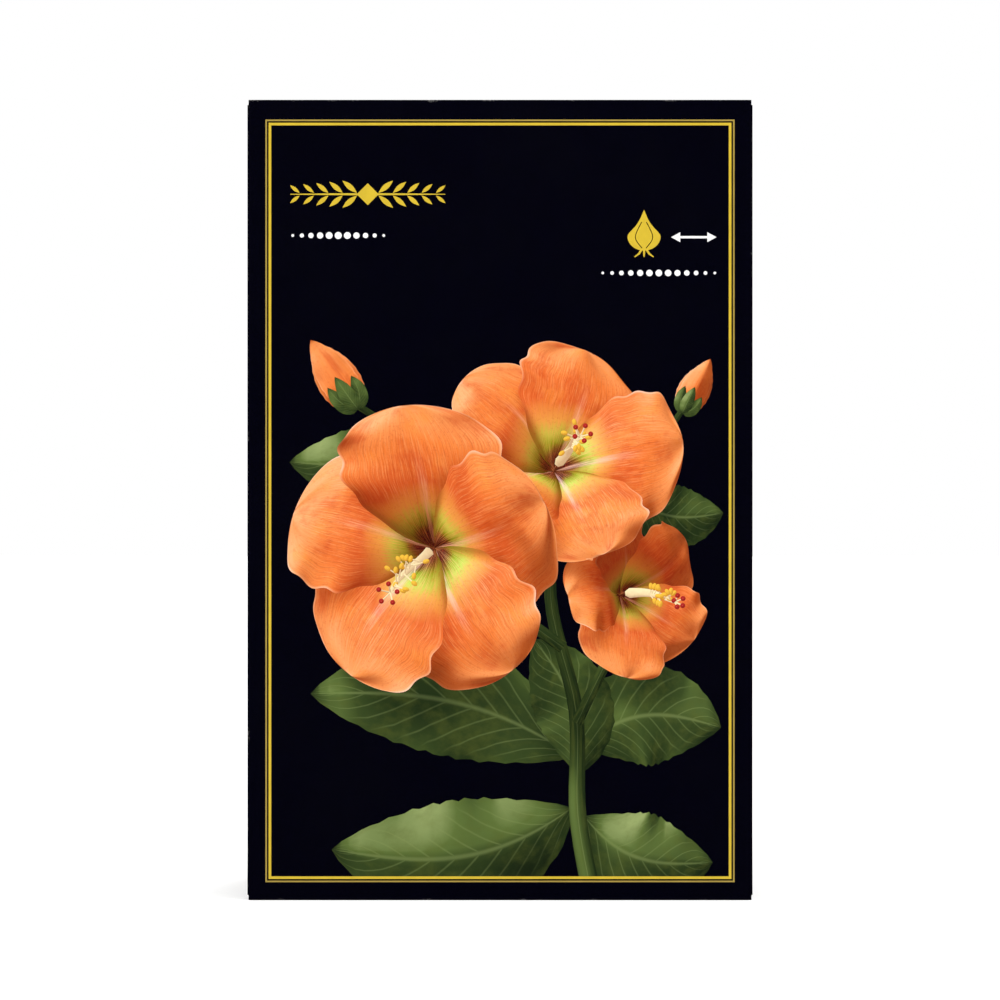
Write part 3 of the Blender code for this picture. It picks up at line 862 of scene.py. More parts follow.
@dataclass(frozen=True)
class Leaf:
    """A pointed leaf with a folded midrib, or one petal of a bud."""

    base: Point
    tip: Point
    half: float
    belly: float
    height: float
    layer: int
    seed: int
    fold: float = 0.4
    roll: float = 0.0
    arch: float = 0.12
    ink: Ink = Ink.LEAF
    rows: int = 30
    columns: int = 13
    full: float = 0.8

    def surface(self) -> Surface:
        """The leaf's blade."""
        draw = Random(self.seed)
        u = np.linspace(0.0, 1.0, self.rows)[:, None]
        v = np.linspace(-1.0, 1.0, self.columns)
        run = np.array(self.tip) - np.array(self.base)
        spine = np.array(self.base) + run * u + leftward(unit(run)) * self.belly * np.sin(pi * u**0.9)
        across = leftward(unit(np.gradient(spine, axis=0)))
        width = u**self.full * (1.0 - u) ** 0.85
        width = width / width.max() * self.half
        notch = 1.0 + 0.03 * np.abs(v) * np.sin(21.0 * pi * u)
        flat = spine[:, None, :] + across[:, None, :] * (v * width * notch)[:, :, None]
        wave = 0.1 * np.sin(5.0 * pi * u + draw.uniform(0.0, 6.0)) * np.abs(v) ** 2
        near = self.height + np.linalg.norm(run) * self.arch * np.sin(pi * u)
        near = near + width * (-self.fold * np.abs(v) ** 1.3 + self.roll * v + wave)
        grid = np.concatenate((flat, near[:, :, None]), axis=2)
        return Surface(self.ink, self.layer, grid, gridded(u, v), seed=draw.random())


@dataclass(frozen=True)
class Bud:
    """A closed bud: three petals wrapped to a point, in a cup of small green scales."""

    base: Point
    tip: Point
    half: float
    height: float
    layer: int
    seed: int

    def surfaces(self) -> list[Surface]:
        """The bud's petals and its cup."""
        base, half = np.array(self.base), self.half
        run = np.array(self.tip) - base
        side = leftward(unit(run)) * half
        made = []
        wraps = ((0.42, 0.62, -0.7), (-0.42, 0.62, 0.7), (0.0, 0.78, 0.25))
        for order, (shift, share, roll) in enumerate(wraps):
            petal = Leaf(
                tuple(base + side * shift * 0.35), tuple(base + run * (0.93, 0.96, 1.0)[order]), half * share,
                shift * half * 0.5, self.height + 1.5 * order, self.layer + order, self.seed + order,
                0.75, roll, 0.05, Ink.PETAL, 20, 11, 0.55,
            ).surface()
            petal.grain[:, :, 0] = 0.55 + 0.4 * petal.grain[:, :, 0]
            made.append(petal)
        for order, (shift, reach) in enumerate(((0.62, 0.4), (-0.62, 0.36), (0.05, 0.46))):
            scale = Leaf(
                tuple(base - run * 0.03), tuple(base + run * reach + side * shift * 0.9), half * 0.36,
                shift * half * 0.3, self.height + 4.5 + order, self.layer + 3 + order, self.seed + 9 + order,
                0.5, 0.4 * shift, 0.05, Ink.LEAF, 14, 7, 0.5,
            )
            made.append(scale.surface())
        return made


@dataclass(frozen=True)
class Stalk:
    """A round green stalk through a few points, from its thick end to its thin one."""

    layer: int
    path: tuple[Colour, ...]
    thick: float
    thin: float

    def surface(self) -> Surface:
        """The stalk's near half."""
        spine = smooth_path(self.path, 7)
        return tube(Ink.STEM, self.layer, spine, np.linspace(self.thick, self.thin, len(spine)), 9)


STEM_PATH = (
    (22.5, -2.0, -11.0), (18.5, 20.0, -11.0), (18.0, 45.0, -10.0), (12.0, 72.0, -8.0), (14.0, 100.0, -6.0),
)
TWIG_PATH = ((12.0, 80.0, -14.0), (-8.0, 108.0, -14.0), (-24.0, 112.0, -13.0), (-34.0, 117.5, -8.0))


@dataclass(frozen=True)
class Spray:
    """The picture on the front: a branch with three blossoms, buds and broad leaves."""

    light: PictureLight = PictureLight()
    blooms: tuple[Bloom, ...] = (
        Bloom((34.0, 73.5), 20.5, (-0.1, 0.62), 0.5, -4.0, 200, 31),
        Bloom((15.5, 107.5), 29.5, (-0.42, 0.22), 1.1, 2.0, 300, 12),
        Bloom((-19.5, 82.0), 34.0, (0.1, -0.26), 0.2, 10.0, 400, 23),
    )
    buds: tuple[Bud, ...] = (
        Bud((-34.0, 117.0), (-45.0, 133.0), 5.6, -6.0, 150, 61),
        Bud((43.5, 116.0), (50.0, 128.5), 4.2, -8.0, 160, 62),
    )
    leaves: tuple[Leaf, ...] = (
        Leaf((17.0, 22.0), (-40.0, 12.0), 13.5, 7.0, -16.0, 20, 1, 0.42, -0.22, 0.1),
        Leaf((17.5, 34.0), (-45.0, 49.0), 13.0, -6.0, -13.0, 30, 2, 0.4, 0.25, 0.1),
        Leaf((20.0, 20.0), (50.5, 9.0), 11.0, -5.0, -14.0, 40, 3, 0.42, 0.2, 0.12),
        Leaf((19.0, 36.0), (52.5, 41.0), 12.0, 5.5, -12.0, 50, 4, 0.45, -0.2, 0.12),
        Leaf((18.5, 30.0), (8.0, 62.0), 9.5, -4.0, -9.0, 60, 5, 0.5, 0.15, 0.1),
        Leaf((-12.0, 112.0), (-50.0, 104.0), 9.0, 4.0, -15.0, 70, 6, 0.42, -0.22, 0.12),
        Leaf((31.0, 96.0), (53.0, 92.0), 7.5, -3.0, -12.0, 80, 7, 0.42, 0.22, 0.12),
    )
    stalks: tuple[Stalk, ...] = (
        Stalk(90, STEM_PATH, 2.3, 1.2),
        Stalk(92, ((18.2, 42.0, -11.0), (26.0, 58.0, -11.0), (33.0, 70.0, -9.0)), 1.4, 1.1),
        Stalk(94, ((15.0, 60.0, -11.0), (-2.0, 72.0, -11.0), (-18.0, 82.0, -6.0)), 1.5, 1.2),
        Stalk(96, TWIG_PATH, 1.0, 0.8),
        Stalk(98, ((16.0, 92.0, -14.0), (33.0, 104.0, -14.0), (43.5, 116.5, -10.0)), 1.0, 0.7),
    )

    def patches(self) -> list[Patch]:
        """The picture's printed shapes, with their light."""
        surfaces = [part.surface() for part in self.leaves + self.stalks]
        for bud in self.buds:
            surfaces += bud.surfaces()
        for bloom in self.blooms:
            surfaces += [bloom.petal(index) for index in range(PETALS)] + bloom.column(bloom.layer + 10)
        self.light.shade(surfaces)
        return [surface.patch() for surface in surfaces]


# Cutting and folding the board


@dataclass
class CutSheet:
    """One face of a flat panel, cut into printed triangles."""

    points: Array
    faces: Array
    inks: list[Ink | None]
    grain: Array
    tone: Array
    sources: list[list[int]]


SHEET = -1
HOLE = -2


def winner(candidates: list[int], patches: list[Patch], owners: list[int], depths: list[float]) -> int:
    """Which of the printed faces over one spot shows.

    Args:
        candidates: The faces there.
        patches: All printed shapes.
        owners: The shape that each face belongs to.
        depths: How near each face is.

    Returns:
        The face that shows.
    """
    top = max(patches[owners[f]].layer for f in candidates)
    near = [f for f in candidates if patches[owners[f]].layer == top]
    ranks = {patches[owners[f]].rank for f in near}
    if len(ranks) > 1:
        free = [r for r in ranks if (r - 1) % PETALS not in ranks] or [max(ranks)]
        near = [f for f in near if patches[owners[f]].rank == min(free)]
    return max(near, key=lambda f: depths[f])


def weld(verts: Array, faces: Array) -> tuple[Array, Array]:
    """Make one point of points that nearly touch.

    Args:
        verts: Points of the cut, in millimetres.
        faces: Its triangles.

    Returns:
        The point that each point becomes, and the triangles between those.
    """
    stands = np.arange(len(verts))
    sides = np.concatenate((faces[:, :2], faces[:, 1:], faces[:, ::2]))
    length = np.linalg.norm(verts[sides[:, 0]] - verts[sides[:, 1]], axis=1)
    for a, b in sides[length < WELD_REACH]:
        stands[stands == stands[b]] = stands[a]
    return stands, stands[faces]


@dataclass
class Layout:
    """Everything that one face of a flat panel is cut along, in millimetres.

    The outline runs counterclockwise and each crease is a pair of points.
    """

    outline: Sequence[Point]
    holes: list
    creases: list
    patches: list[Patch]

    def __post_init__(self) -> None:
        """Gather the points and faces of the panel, its holes and its print."""
        points = [tuple(p) for p in self.outline]
        self.faces: list[Sequence[int]] = [range(len(points))]
        self.owners = [SHEET]
        for hole in self.holes:
            self.faces.append(range(len(points), len(points) + len(hole)))
            self.owners.append(HOLE)
            points += [tuple(p) for p in hole]
        self.edges = []
        for a, b in self.creases:
            self.edges.append((len(points), len(points) + 1))
            points += [tuple(a), tuple(b)]
        start = len(points)
        grain, tone, depth = [np.zeros((start, 2))], [np.ones((start, 3))], [np.zeros(start)]
        for index, patch in enumerate(self.patches):
            base, count = len(points), len(patch.points)
            points += list(map(tuple, patch.points))
            self.faces += [[base + k for k in face] for face in patch.faces]
            self.owners += [index] * len(patch.faces)
            grain.append(np.zeros((count, 2)) if patch.grain is None else patch.grain)
            tone.append(np.ones((count, 3)) if patch.tone is None else patch.tone)
            depth.append(np.zeros(count) if patch.depth is None else patch.depth)
        self.points = np.array(points, float)
        self.grain, self.tone, near = np.concatenate(grain), np.concatenate(tone), np.concatenate(depth)
        self.depths = [float(near[list(face)].mean()) for face in self.faces]

    def cut(self) -> tuple[Array, Array, list[int], list[list[int]]]:
        """Cut everything into triangles.

        Returns:
            The points, the triangles on the panel, the printed face that shows on each (0 for none),
            and which given points each point stands for.
        """
        flat = [Vector(p) for p in self.points]
        cut = delaunay_2d_cdt(flat, self.edges, self.faces, 1, CUT_PRECISION, True)
        verts = np.array([tuple(v) for v in cut[0]])
        lows = [self.points[list(face)].min(axis=0) - CLAIM_SLACK for face in self.faces]
        highs = [self.points[list(face)].max(axis=0) + CLAIM_SLACK for face in self.faces]
        kept, winners = [], []
        for face, claims in zip(cut[2], cut[5]):
            x, y = sum(verts[k] for k in face) / 3.0
            fair = [f for f in claims if lows[f][0] <= x <= highs[f][0] and lows[f][1] <= y <= highs[f][1]]
            if 0 not in fair or any(self.owners[f] == HOLE for f in fair):
                continue
            printed = [f for f in fair if self.owners[f] >= 0]
            kept.append(face)
            winners.append(winner(printed, self.patches, self.owners, self.depths) if printed else 0)
        stands, kept = weld(verts, np.array(kept))
        whole = (kept != np.roll(kept, 1, axis=1)).all(axis=1)
        sources: list[list[int]] = [[] for _ in verts]
        for vert, given in enumerate(cut[3]):
            sources[stands[vert]] += given
        used, faces = np.unique(kept[whole], return_inverse=True)
        winners = [w for w, good in zip(winners, whole) if good]
        return verts[used], faces.reshape(-1, 3), winners, [sources[k] for k in used]

    def seen(self, winners: Iterable[int]) -> list[Patch]:
        """The print with only the faces that show."""
        showing = set(winners)
        kept: list[list[Sequence[int]]] = [[] for _ in self.patches]
        first = {}
        for number, owner in enumerate(self.owners):
            if owner >= 0:
                order = first.setdefault(owner, number)
                if number in showing:
                    kept[owner].append(self.patches[owner].faces[number - order])
        return [replace(patch, faces=faces) for patch, faces in zip(self.patches, kept) if faces]


def cut_sheet(outline: Sequence[Point], holes: list, creases: list, patches: list[Patch]) -> CutSheet:
    """Cut a flat outline along its creases and the print that shows.

    Args:
        outline: Corners of the panel, counterclockwise, in millimetres.
        holes: Outlines of the holes through it.
        creases: Pairs of points that a fold line runs between.
        patches: The printed shapes.

    Returns:
        The triangles with their inks.
    """
    layout = Layout(outline, holes, creases, patches)
    verts, kept, winners, sources = layout.cut()
    if patches:
        layout = Layout(outline, holes, creases, layout.seen(winners))
        verts, kept, winners, sources = layout.cut()
    shown = layout.patches
    shaded = [w if w and shown[layout.owners[w]].grain is not None else 0 for w in winners]
    corners = np.array([layout.faces[w] if w else (0, 1, 2) for w in shaded])
    a, b, c = (layout.points[corners[:, k]][:, None, :] for k in range(3))
    at = verts[kept]
    whole = cross(b - a, c - a)
    shares = gridded(cross(b - at, c - at), cross(c - at, a - at), cross(a - at, b - at))
    shares = np.clip(shares / whole[..., None], 0.0, 1.0)
    shares /= shares.sum(axis=2, keepdims=True)
    known = np.array(shaded) > 0
    face_grain = np.einsum("fkc,fcd->fkd", shares, layout.grain[corners]) * known[:, None, None]
    face_tone = np.einsum("fkc,fcd->fkd", shares, layout.tone[corners])
    face_tone[~known] = 1.0
    inks = [shown[layout.owners[w]].ink if w else None for w in winners]
    return CutSheet(verts, kept, inks, face_grain, face_tone, sources)


def rim_loops(faces: Array) -> list[list[int]]:
    """Closed loops of the edges that only one triangle has, with the face on their left."""
    edges = {(int(f[k]), int(f[(k + 1) % 3])) for f in faces for k in range(3)}
    follow = {a: b for a, b in edges if (b, a) not in edges}
    loops = []
    while follow:
        start, here = follow.popitem()
        loop = [start]
        while here != start:
            loop.append(here)
            here = follow.pop(here)
        loops.append(loop)
    return loops


@dataclass
class Section:
    """Section through folded board along its outer face, which lies on the section's right."""

    corners: Sequence[Point]
    radius: float = 1.0

    def spans(self) -> list[tuple[float, float, Array, float, float]]:
        """Straight runs and arcs as (start length, length, start point, heading, turn per length)."""
        points = np.array(self.corners, float)
        made, length, start = [], 0.0, points[0]
        for before, corner, after in zip(points, points[1:], points[2:]):
            into, out = unit(corner - before), unit(after - corner)
            turn = atan2(float(cross(into, out)), float(into @ out))
            reach = self.radius * tan(turn / 2.0)
            run = float((corner - into * reach - start) @ into)
            heading, bent = atan2(into[1], into[0]), self.radius * turn
            made.append((length, run, start, heading, 0.0))
            made.append((length + run, bent, start + into * run, heading, 1.0 / self.radius))
            length += run + bent
            start = corner + out * reach
        last = points[-1] - start
        made.append((length, float(np.linalg.norm(last)), start, atan2(last[1], last[0]), 0.0))
        return made

    def place(self, lengths: Array, depth: float) -> tuple[Array, Array]:
        """Points and outward normals at running lengths, at a depth under the outer face."""
        points, normals = np.zeros((len(lengths), 2)), np.zeros((len(lengths), 2))
        spans = self.spans()
        for index, (start, run, point, heading, bend) in enumerate(spans):
            low = -1e9 if index == 0 else start
            high = 1e9 if index == len(spans) - 1 else start + run
            here = (lengths >= low) & (lengths < high)
            along = lengths[here] - start
            turned = heading + bend * along
            ahead = np.array((cos(heading), sin(heading)))
            normals[here] = normal = -leftward(gridded(np.cos(turned), np.sin(turned)))
            if bend:
                points[here] = point + leftward(ahead) / bend + normal * (1.0 / bend - depth)
            else:
                points[here] = point + along[:, None] * ahead - normal * depth
        return points, normals


class Plane(Enum):
    """Which of x, y and z a section's two directions and the direction across it are."""

    WALL = (0, 1, 2)
    END = (1, 2, 0)
    FLAP = (0, 2, 1)


CREASE_STEPS = 8


@dataclass
class Panel:
    """One panel of the carton: its outline and print, drawn flat, and the section that it is folded to.

    A drawing point (right, up) lies at running length origin + along . (right, up) of the section,
    and at across . (right, up) on the axis across it. All lengths are in millimetres.
    """

    name: str
    body: str
    replaced: tuple[str, ...]
    section: Section
    plane: Plane
    origin: float
    along: Point
    across: Point
    outline: Sequence[Point]
    holes: list = field(default_factory=list)
    patches: list[Patch] = field(default_factory=list)
    ground: Ink = Ink.BLACK
    board: float = 0.6

    def creases(self) -> list[tuple[Point, Point]]:
        """Fold lines across the drawing, one at each step of an arc."""
        low, high = np.min(self.outline, axis=0), np.max(self.outline, axis=0)
        made = []
        axis = 0 if self.along[0] else 1
        for start, run, _, _, bend in self.section.spans():
            for i in range(CREASE_STEPS + 1 if bend else 0):
                at = (start + run * i / CREASE_STEPS - self.origin) / self.along[axis]
                if low[axis] + 1e-3 < at < high[axis] - 1e-3:
                    made.append(tuple((end[0], at) if axis else (at, end[1]) for end in (low, high)))
        return made

    def folded(self, points: Array, depth: float) -> tuple[Array, Array]:
        """Drawing points in space, in metres, and the board's outward normals there."""
        flat, normals = self.section.place(self.origin + points @ np.array(self.along), depth)
        made, ways = np.zeros((2, len(points), 3))
        made[:, self.plane.value] = np.column_stack((flat, points @ np.array(self.across)))
        ways[:, self.plane.value[:2]] = normals
        return made * MM, ways

    def build(self) -> Piece:
        """Cut, print and fold the panel.

        Returns:
            The panel as a closed piece that rides on its body.
        """
        outer = cut_sheet(self.outline, self.holes, self.creases(), self.patches)
        loops = rim_loops(outer.faces)
        area = [cross(outer.points[loop], np.roll(outer.points[loop], -1, axis=0)).sum() for loop in loops]
        rim = loops[int(np.argmax(area))]
        gaps = [loop[::-1] for loop in loops if loop is not rim]
        order = [k for loop in [rim, *gaps] for k in loop]
        inner = cut_sheet(outer.points[rim], [outer.points[g] for g in gaps], self.creases(), [])
        under = {source: k for k, sources in enumerate(inner.sources) for source in sources}
        twin = {vert: under[k] + len(outer.points) for k, vert in enumerate(order)}
        outside, outside_ways = self.folded(outer.points, 0.0)
        inside, inside_ways = self.folded(inner.points, self.board)
        verts = np.concatenate((outside, inside))
        sides = [(j, i, twin[i], twin[j]) for loop in loops for i, j in zip(loop, loop[1:] + loop[:1])]
        back = inner.faces[:, ::-1] + len(outer.points)
        a, b, c = (outside[outer.faces[0][k]] for k in range(3))
        mirrored = float(np.cross(b - a, c - a) @ outside_ways[outer.faces[0][0]]) < 0.0
        faces = outer.faces.tolist() + back.tolist() + sides
        inks = [ink or self.ground for ink in outer.inks]
        used = sorted(set(inks), key=lambda ink: ink.name)
        finishes = [ink.value for ink in used] + [BOARD_BACK, BOARD_EDGE]
        slots = [used.index(ink) for ink in inks] + [len(used)] * len(back) + [len(used) + 1] * len(sides)
        plain = 3 * len(back) + 4 * len(sides)
        grain = np.concatenate((outer.grain.reshape(-1, 2), np.zeros((plain, 2))))
        tone = np.concatenate((outer.tone.reshape(-1, 3), np.ones((plain, 3))))
        a, b, c = (verts[np.array(sides)[:, k]] / MM for k in range(3))
        edge_ways = unit(np.cross(b - a, c - b)) * (-1.0 if mirrored else 1.0)
        back_ways = -inside_ways[inner.faces[:, ::-1]]
        normals = outside_ways[outer.faces], back_ways, np.repeat(edge_ways, 4, axis=0)
        bake = self.bake_map(outer, inner, loops)
        piece = raw_piece(self.name, verts, faces, finishes, slots)
        paint_loops(piece, {"grain": grain, "OFBake": bake}, tone)
        piece.data.normals_split_custom_set(np.concatenate([way.reshape(-1, 3) for way in normals]))
        if mirrored:
            piece.data.flip_normals()
        return settle(piece, self.body, self.replaced)

    @staticmethod
    def bake_map(outer: CutSheet, inner: CutSheet, loops: list[list[int]]) -> Array:
        """Second UV map of the piece: the print largest, the back beside it, the rim as a thin line."""
        low = outer.points.min(axis=0)
        size = outer.points.max(axis=0) - low
        scale = 0.98 / max(size[1], size[0] / 0.72)
        front = (outer.points - low) * scale + 0.005
        room = 0.98 - size[0] * scale
        small = min(0.85 * room / size[0], 0.85 / size[1])
        behind = (inner.points - low) * small + np.array((size[0] * scale + 0.03, 0.01))
        rim = []
        for loop in loops:
            for k in range(len(loop)):
                a, b = (0.4 + 0.55 * part / len(loop) for part in (k, k + 1))
                rim += [(b, 0.99), (a, 0.99), (a, 0.998), (b, 0.998)]
        parts = front[outer.faces], behind[inner.faces[:, ::-1]], np.array(rim)
        return np.concatenate([part.reshape(-1, 2) for part in parts])


# Making pieces


def raw_piece(name: str, verts: Array, faces: list, finishes: list[Finish], slots: list[int]) -> Piece:
    """A mesh object with its finishes, linked to the scene."""
    mesh = bpy.data.meshes.new(name)
    mesh.from_pydata([tuple(v) for v in verts], [], faces)
    for finish in finishes:
        mesh.materials.append(finish.material())
    mesh.polygons.foreach_set("material_index", slots)
    piece = bpy.data.objects.new(name, mesh)
    bpy.context.scene.collection.objects.link(piece)
    return piece


def paint_loops(piece: Piece, maps: dict[str, Array], tone: Array) -> None:
    """Give a piece its UV maps and its tone, both by face corner."""
    for name, values in maps.items():
        layer = piece.data.uv_layers.new(name=name)
        layer.data.foreach_set("uv", values.astype(np.float32).ravel())
    colours = np.concatenate((tone, np.ones((len(tone), 1))), axis=1)
    attribute = piece.data.color_attributes.new("tone", "FLOAT_COLOR", "CORNER")
    attribute.data.foreach_set("color", colours.astype(np.float32).ravel())


def settle(piece: Piece, body: str, replaced: Sequence[str] = ()) -> Piece:
    """Let a piece ride on its body and hide the frame's nodes that it stands for."""
    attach(piece, body)
    if replaced:
        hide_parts(*replaced)
    return piece


@dataclass
class Sheet3D:
    """A grid of points in space, with its grain in metres and its tone, of each point or of all."""

    points: Array
    grain: Array
    tone: Array
    finish: int = 0


def ringed(radius: Array, angle: Array, height: Array) -> Array:
    """Points from their distance to the upright axis, their angle about it and their height."""
    return gridded(radius * np.cos(angle), radius * np.sin(angle), height)


def toned(light: Array | float, seed: float) -> Array:
    """The tone of a grid, or of all its points: how light it is, and the seed that its grain varies by."""
    return gridded(light, 1.0, seed)


def sheets_piece(name: str, sheets: list[Sheet3D], finishes: list[Finish], thickness: float = 0.0) -> Piece:
    """One piece of many grids, smooth, and thickened if asked.

    Args:
        name: The piece's name.
        sheets: Its grids.
        finishes: Its finishes, which each grid picks one of.
        thickness: Thickness of a thin skin, in metres, or 0 for closed grids.

    Returns:
        The object, not yet riding on a body.
    """
    verts, faces, grain, tone, slots = [], [], [], [], []
    count = 0
    for sheet in sheets:
        rows, columns = sheet.points.shape[:2]
        quads = grid_quads(rows, columns)[:, [0, 3, 2, 1]]
        verts.append(sheet.points.reshape(-1, 3))
        faces.append(quads + count)
        grain.append(sheet.grain.reshape(-1, 2)[quads].reshape(-1, 2))
        tone.append(np.broadcast_to(sheet.tone, sheet.points.shape).reshape(-1, 3)[quads].reshape(-1, 3))
        slots += [sheet.finish] * len(quads)
        count += rows * columns
    quads = np.concatenate(faces).tolist()
    piece = raw_piece(name, np.concatenate(verts), quads, finishes, slots)
    paint_loops(piece, {"grain": np.concatenate(grain)}, np.concatenate(tone))
    piece.data.shade_smooth()
    weld = piece.modifiers.new("weld", "WELD")
    weld.merge_threshold = 1e-6
    if thickness:
        skin = piece.modifiers.new("skin", "SOLIDIFY")
        skin.thickness = thickness
        skin.offset = 0.0
    return piece


# Carton


@dataclass
class Carton:
    """The folded carton: its sizes in millimetres, and a method for each panel."""

    board: float = 0.6
    gap: float = 0.3
    crease: float = 1.0
    glue_tab: float = 14.0
    tab_trim: float = 4.0
    tuck: float = 18.0
    tuck_lean: float = radians(6.0)
    tuck_corner: float = 8.0
    tuck_inset: float = 1.5
    lid_play: float = 0.5
    dust_reach: float = 42.0
    dust_back_inset: float = 2.8
    dust_back_slope: float = 0.5
    dust_front_inset: float = 2.5
    dust_front_taper: float = 4.0
    dust_corner: float = 4.0
    vent_radius: float = 6.0
    vent_middle: float = 88.0
    vent_pitch: float = 30.0
    rod_play: float = 0.01

    def __post_init__(self) -> None:
        """Read the carton's overall size from the frame."""
        low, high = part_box("carton_sleeve")
        self.half_width = (high[0] - low[0]) / 2.0 / MM
        self.half_depth = (high[1] - low[1]) / 2.0 / MM
        self.height = (high[2] - low[2]) / MM
        self.layer = self.board + self.gap
        self.fold_low = self.board / 2.0
        self.fold_high = self.height - self.board / 2.0
        self.side_low = self.layer + self.board / 2.0
        self.side_high = self.height - self.side_low
        self.tab_low = 2.0 * self.layer + self.tab_trim

    def sleeve_section(self) -> Section:
        """The strip of tab, left side, front, right side and back, seen from above."""
        w, d, tab = self.half_width, self.half_depth, self.half_depth - self.layer
        return Section(((self.glue_tab - w, tab), (-w, tab), (-w, -d), (w, -d), (w, d), (-w, d)), self.crease)

    def wall(
        self, name: str, index: int, low: float, high: float, holes: list, patches: list[Patch]
    ) -> Panel:
        """A wall of the sleeve.

        Args:
            name: The piece's name.
            index: Which straight run of the sleeve it is.
            low: Height of its lower edge.
            high: Height of its upper edge.
            holes: Outlines of holes through it.
            patches: Its print.

        Returns:
            The panel, from the middle of one crease to the middle of the next.
        """
        section = self.sleeve_section()
        spans = section.spans()
        start, run = spans[2 * index][:2]
        half_arc = self.crease * pi / 4.0
        left = -run / 2.0 - (half_arc if index else 0.0)
        right = run / 2.0 + (half_arc if index < 4 else 0.0)
        outline = rectangle((left, low), (right, high))
        replaced = ("carton_sleeve",) if index == 2 else ()
        return Panel(
            name, "carton", replaced, section, Plane.WALL, start + run / 2.0, (1.0, 0.0), (0.0, 1.0),
            outline, holes, patches,
        )

    def vents(self) -> list[list[Point]]:
        """Outlines of a side's air holes, in a quincunx."""
        half = self.vent_pitch / 2.0
        places = [(y, self.vent_middle + z) for y in (-half, half) for z in (-half, half)]
        return [circle(p, self.vent_radius, 48) for p in [*places, (0.0, self.vent_middle)]]

    def cover(self, name: str, top: bool, patches: list[Patch]) -> Panel:
        """The lid or the bottom, with its tuck."""
        y_fold, y_front = self.half_depth - self.board / 2.0, -self.half_depth + self.layer
        z = self.height if top else 0.0
        sign = 1.0 if top else -1.0
        lean, drop = sin(self.tuck_lean), cos(self.tuck_lean)
        end = (y_front + self.tuck * lean, z - sign * self.tuck * drop)
        corners = [(y_fold, z), (y_front, z), end]
        section = Section(corners if top else corners[::-1], self.crease)
        spans = section.spans()
        flat = spans[0] if top else spans[2]
        fold_at = flat[0] if top else flat[0] + flat[1]
        half = self.half_width - self.lid_play
        tuck_half = half - self.tuck_inset
        shoulder = y_fold - flat[1]
        low = shoulder - self.crease * (pi / 2.0 - self.tuck_lean) - self.tuck + self.board
        rim = low + self.tuck_corner
        inner = tuck_half - self.tuck_corner
        outline = [(-half, y_fold), (-half, shoulder), (-tuck_half, shoulder - self.crease)]
        outline += [(-inner + x, rim + y) for x, y in arc(self.tuck_corner, 180.0, 270.0)]
        outline += [(inner + x, rim + y) for x, y in arc(self.tuck_corner, 270.0, 360.0)]
        outline += [(tuck_half, shoulder - self.crease), (half, shoulder), (half, y_fold)]
        turn = -1.0 if top else 1.0
        node = "lid_flap" if top else "bottom_flap"
        return Panel(
            name, "lid" if top else "carton", (node,), section, Plane.END, fold_at - turn * y_fold,
            (0.0, turn), (1.0, 0.0), outline, [], patches,
        )

    def dust_flap(self, name: str, side: float, top: bool, patches: list[Patch]) -> Panel:
        """A dust flap, from its fold to its tip."""
        z = self.height - self.layer if top else self.layer
        hinge, tip = self.half_width - self.board / 2.0, self.half_width - self.dust_reach
        ends = sorted((side * hinge, side * tip))
        section = Section(((ends[1], z), (ends[0], z)) if top else ((ends[0], z), (ends[1], z)))
        back = self.half_depth - self.dust_back_inset
        front = -self.half_depth + self.dust_front_inset
        back_tip = back - self.dust_back_slope * self.dust_reach
        curve = front + self.dust_front_taper + self.dust_corner
        outline = [(hinge, front), (hinge, back), (tip, back_tip)]
        outline += [(tip + self.dust_corner + x, curve + y) for x, y in arc(self.dust_corner, 180.0, 270.0)]
        outline = [(side * x, y) for x, y in outline]
        if polygon_area(outline) < 0.0:
            outline.reverse()
        body = f"{'left' if side < 0.0 else 'right'}_flap" if top else "carton"
        turn = -1.0 if top else 1.0
        start = ends[1] if top else -ends[0]
        return Panel(
            name, body, (name.replace("_board", ""),), section, Plane.FLAP, start, (turn, 0.0), (0.0, 1.0),
            outline, [], patches, Ink.COATING,
        )

    def knuckle(self, name: str, centre: Colour, axis: int, half: float, turns: tuple[float, float]) -> Piece:
        """The rounded back of a fold: a thin rod on the hinge line, printed on its outer quarter.

        Args:
            name: The piece's name.
            centre: The hinge line's middle, in millimetres.
            axis: Which of x and y the line runs along.
            half: Half its length.
            turns: Where its printed side starts and ends, in degrees.

        Returns:
            The rod, riding on the carton.
        """
        sides, rows = 24, 3
        radius = self.board / 2.0 - self.rod_play
        verts, faces, slots = [], [], []
        for along in np.linspace(-half, half, rows):
            for k in range(sides):
                angle = tau * k / sides
                point = [0.0, 0.0, centre[2] + radius * sin(angle)]
                point[axis] = centre[axis] + along
                point[1 - axis] = centre[1 - axis] + radius * cos(angle)
                verts.append(point)
        for row in range(rows - 1):
            for k in range(sides):
                here, after = row * sides + k, row * sides + (k + 1) % sides
                quad = [here, here + sides, after + sides, after]
                faces.append(quad if axis == 1 else quad[::-1])
                angle = 360.0 * (k + 0.5) / sides
                slots.append(0 if turns[0] <= angle <= turns[1] else 1)
        caps = [list(range(sides)), list(range((rows - 1) * sides, rows * sides))]
        caps[1 if axis == 1 else 0].reverse()
        faces += caps
        slots += [2, 2]
        piece = raw_piece(name, np.array(verts) * MM, faces, [Ink.BLACK.value, BOARD_BACK, BOARD_EDGE], slots)
        corners = sum(len(face) for face in faces)
        paint_loops(piece, {"grain": np.zeros((corners, 2))}, np.ones((corners, 3)))
        piece.data.shade_smooth()
        piece.data.set_sharp_from_angle(angle=radians(50.0))
        return settle(piece, "carton")


def arc(radius: float, start: float, end: float, steps: int = 8) -> list[Point]:
    """Points on an arc about the origin, with its angles in degrees."""
    turns = [radians(start + (end - start) * i / steps) for i in range(steps + 1)]
    return [(radius * cos(t), radius * sin(t)) for t in turns]


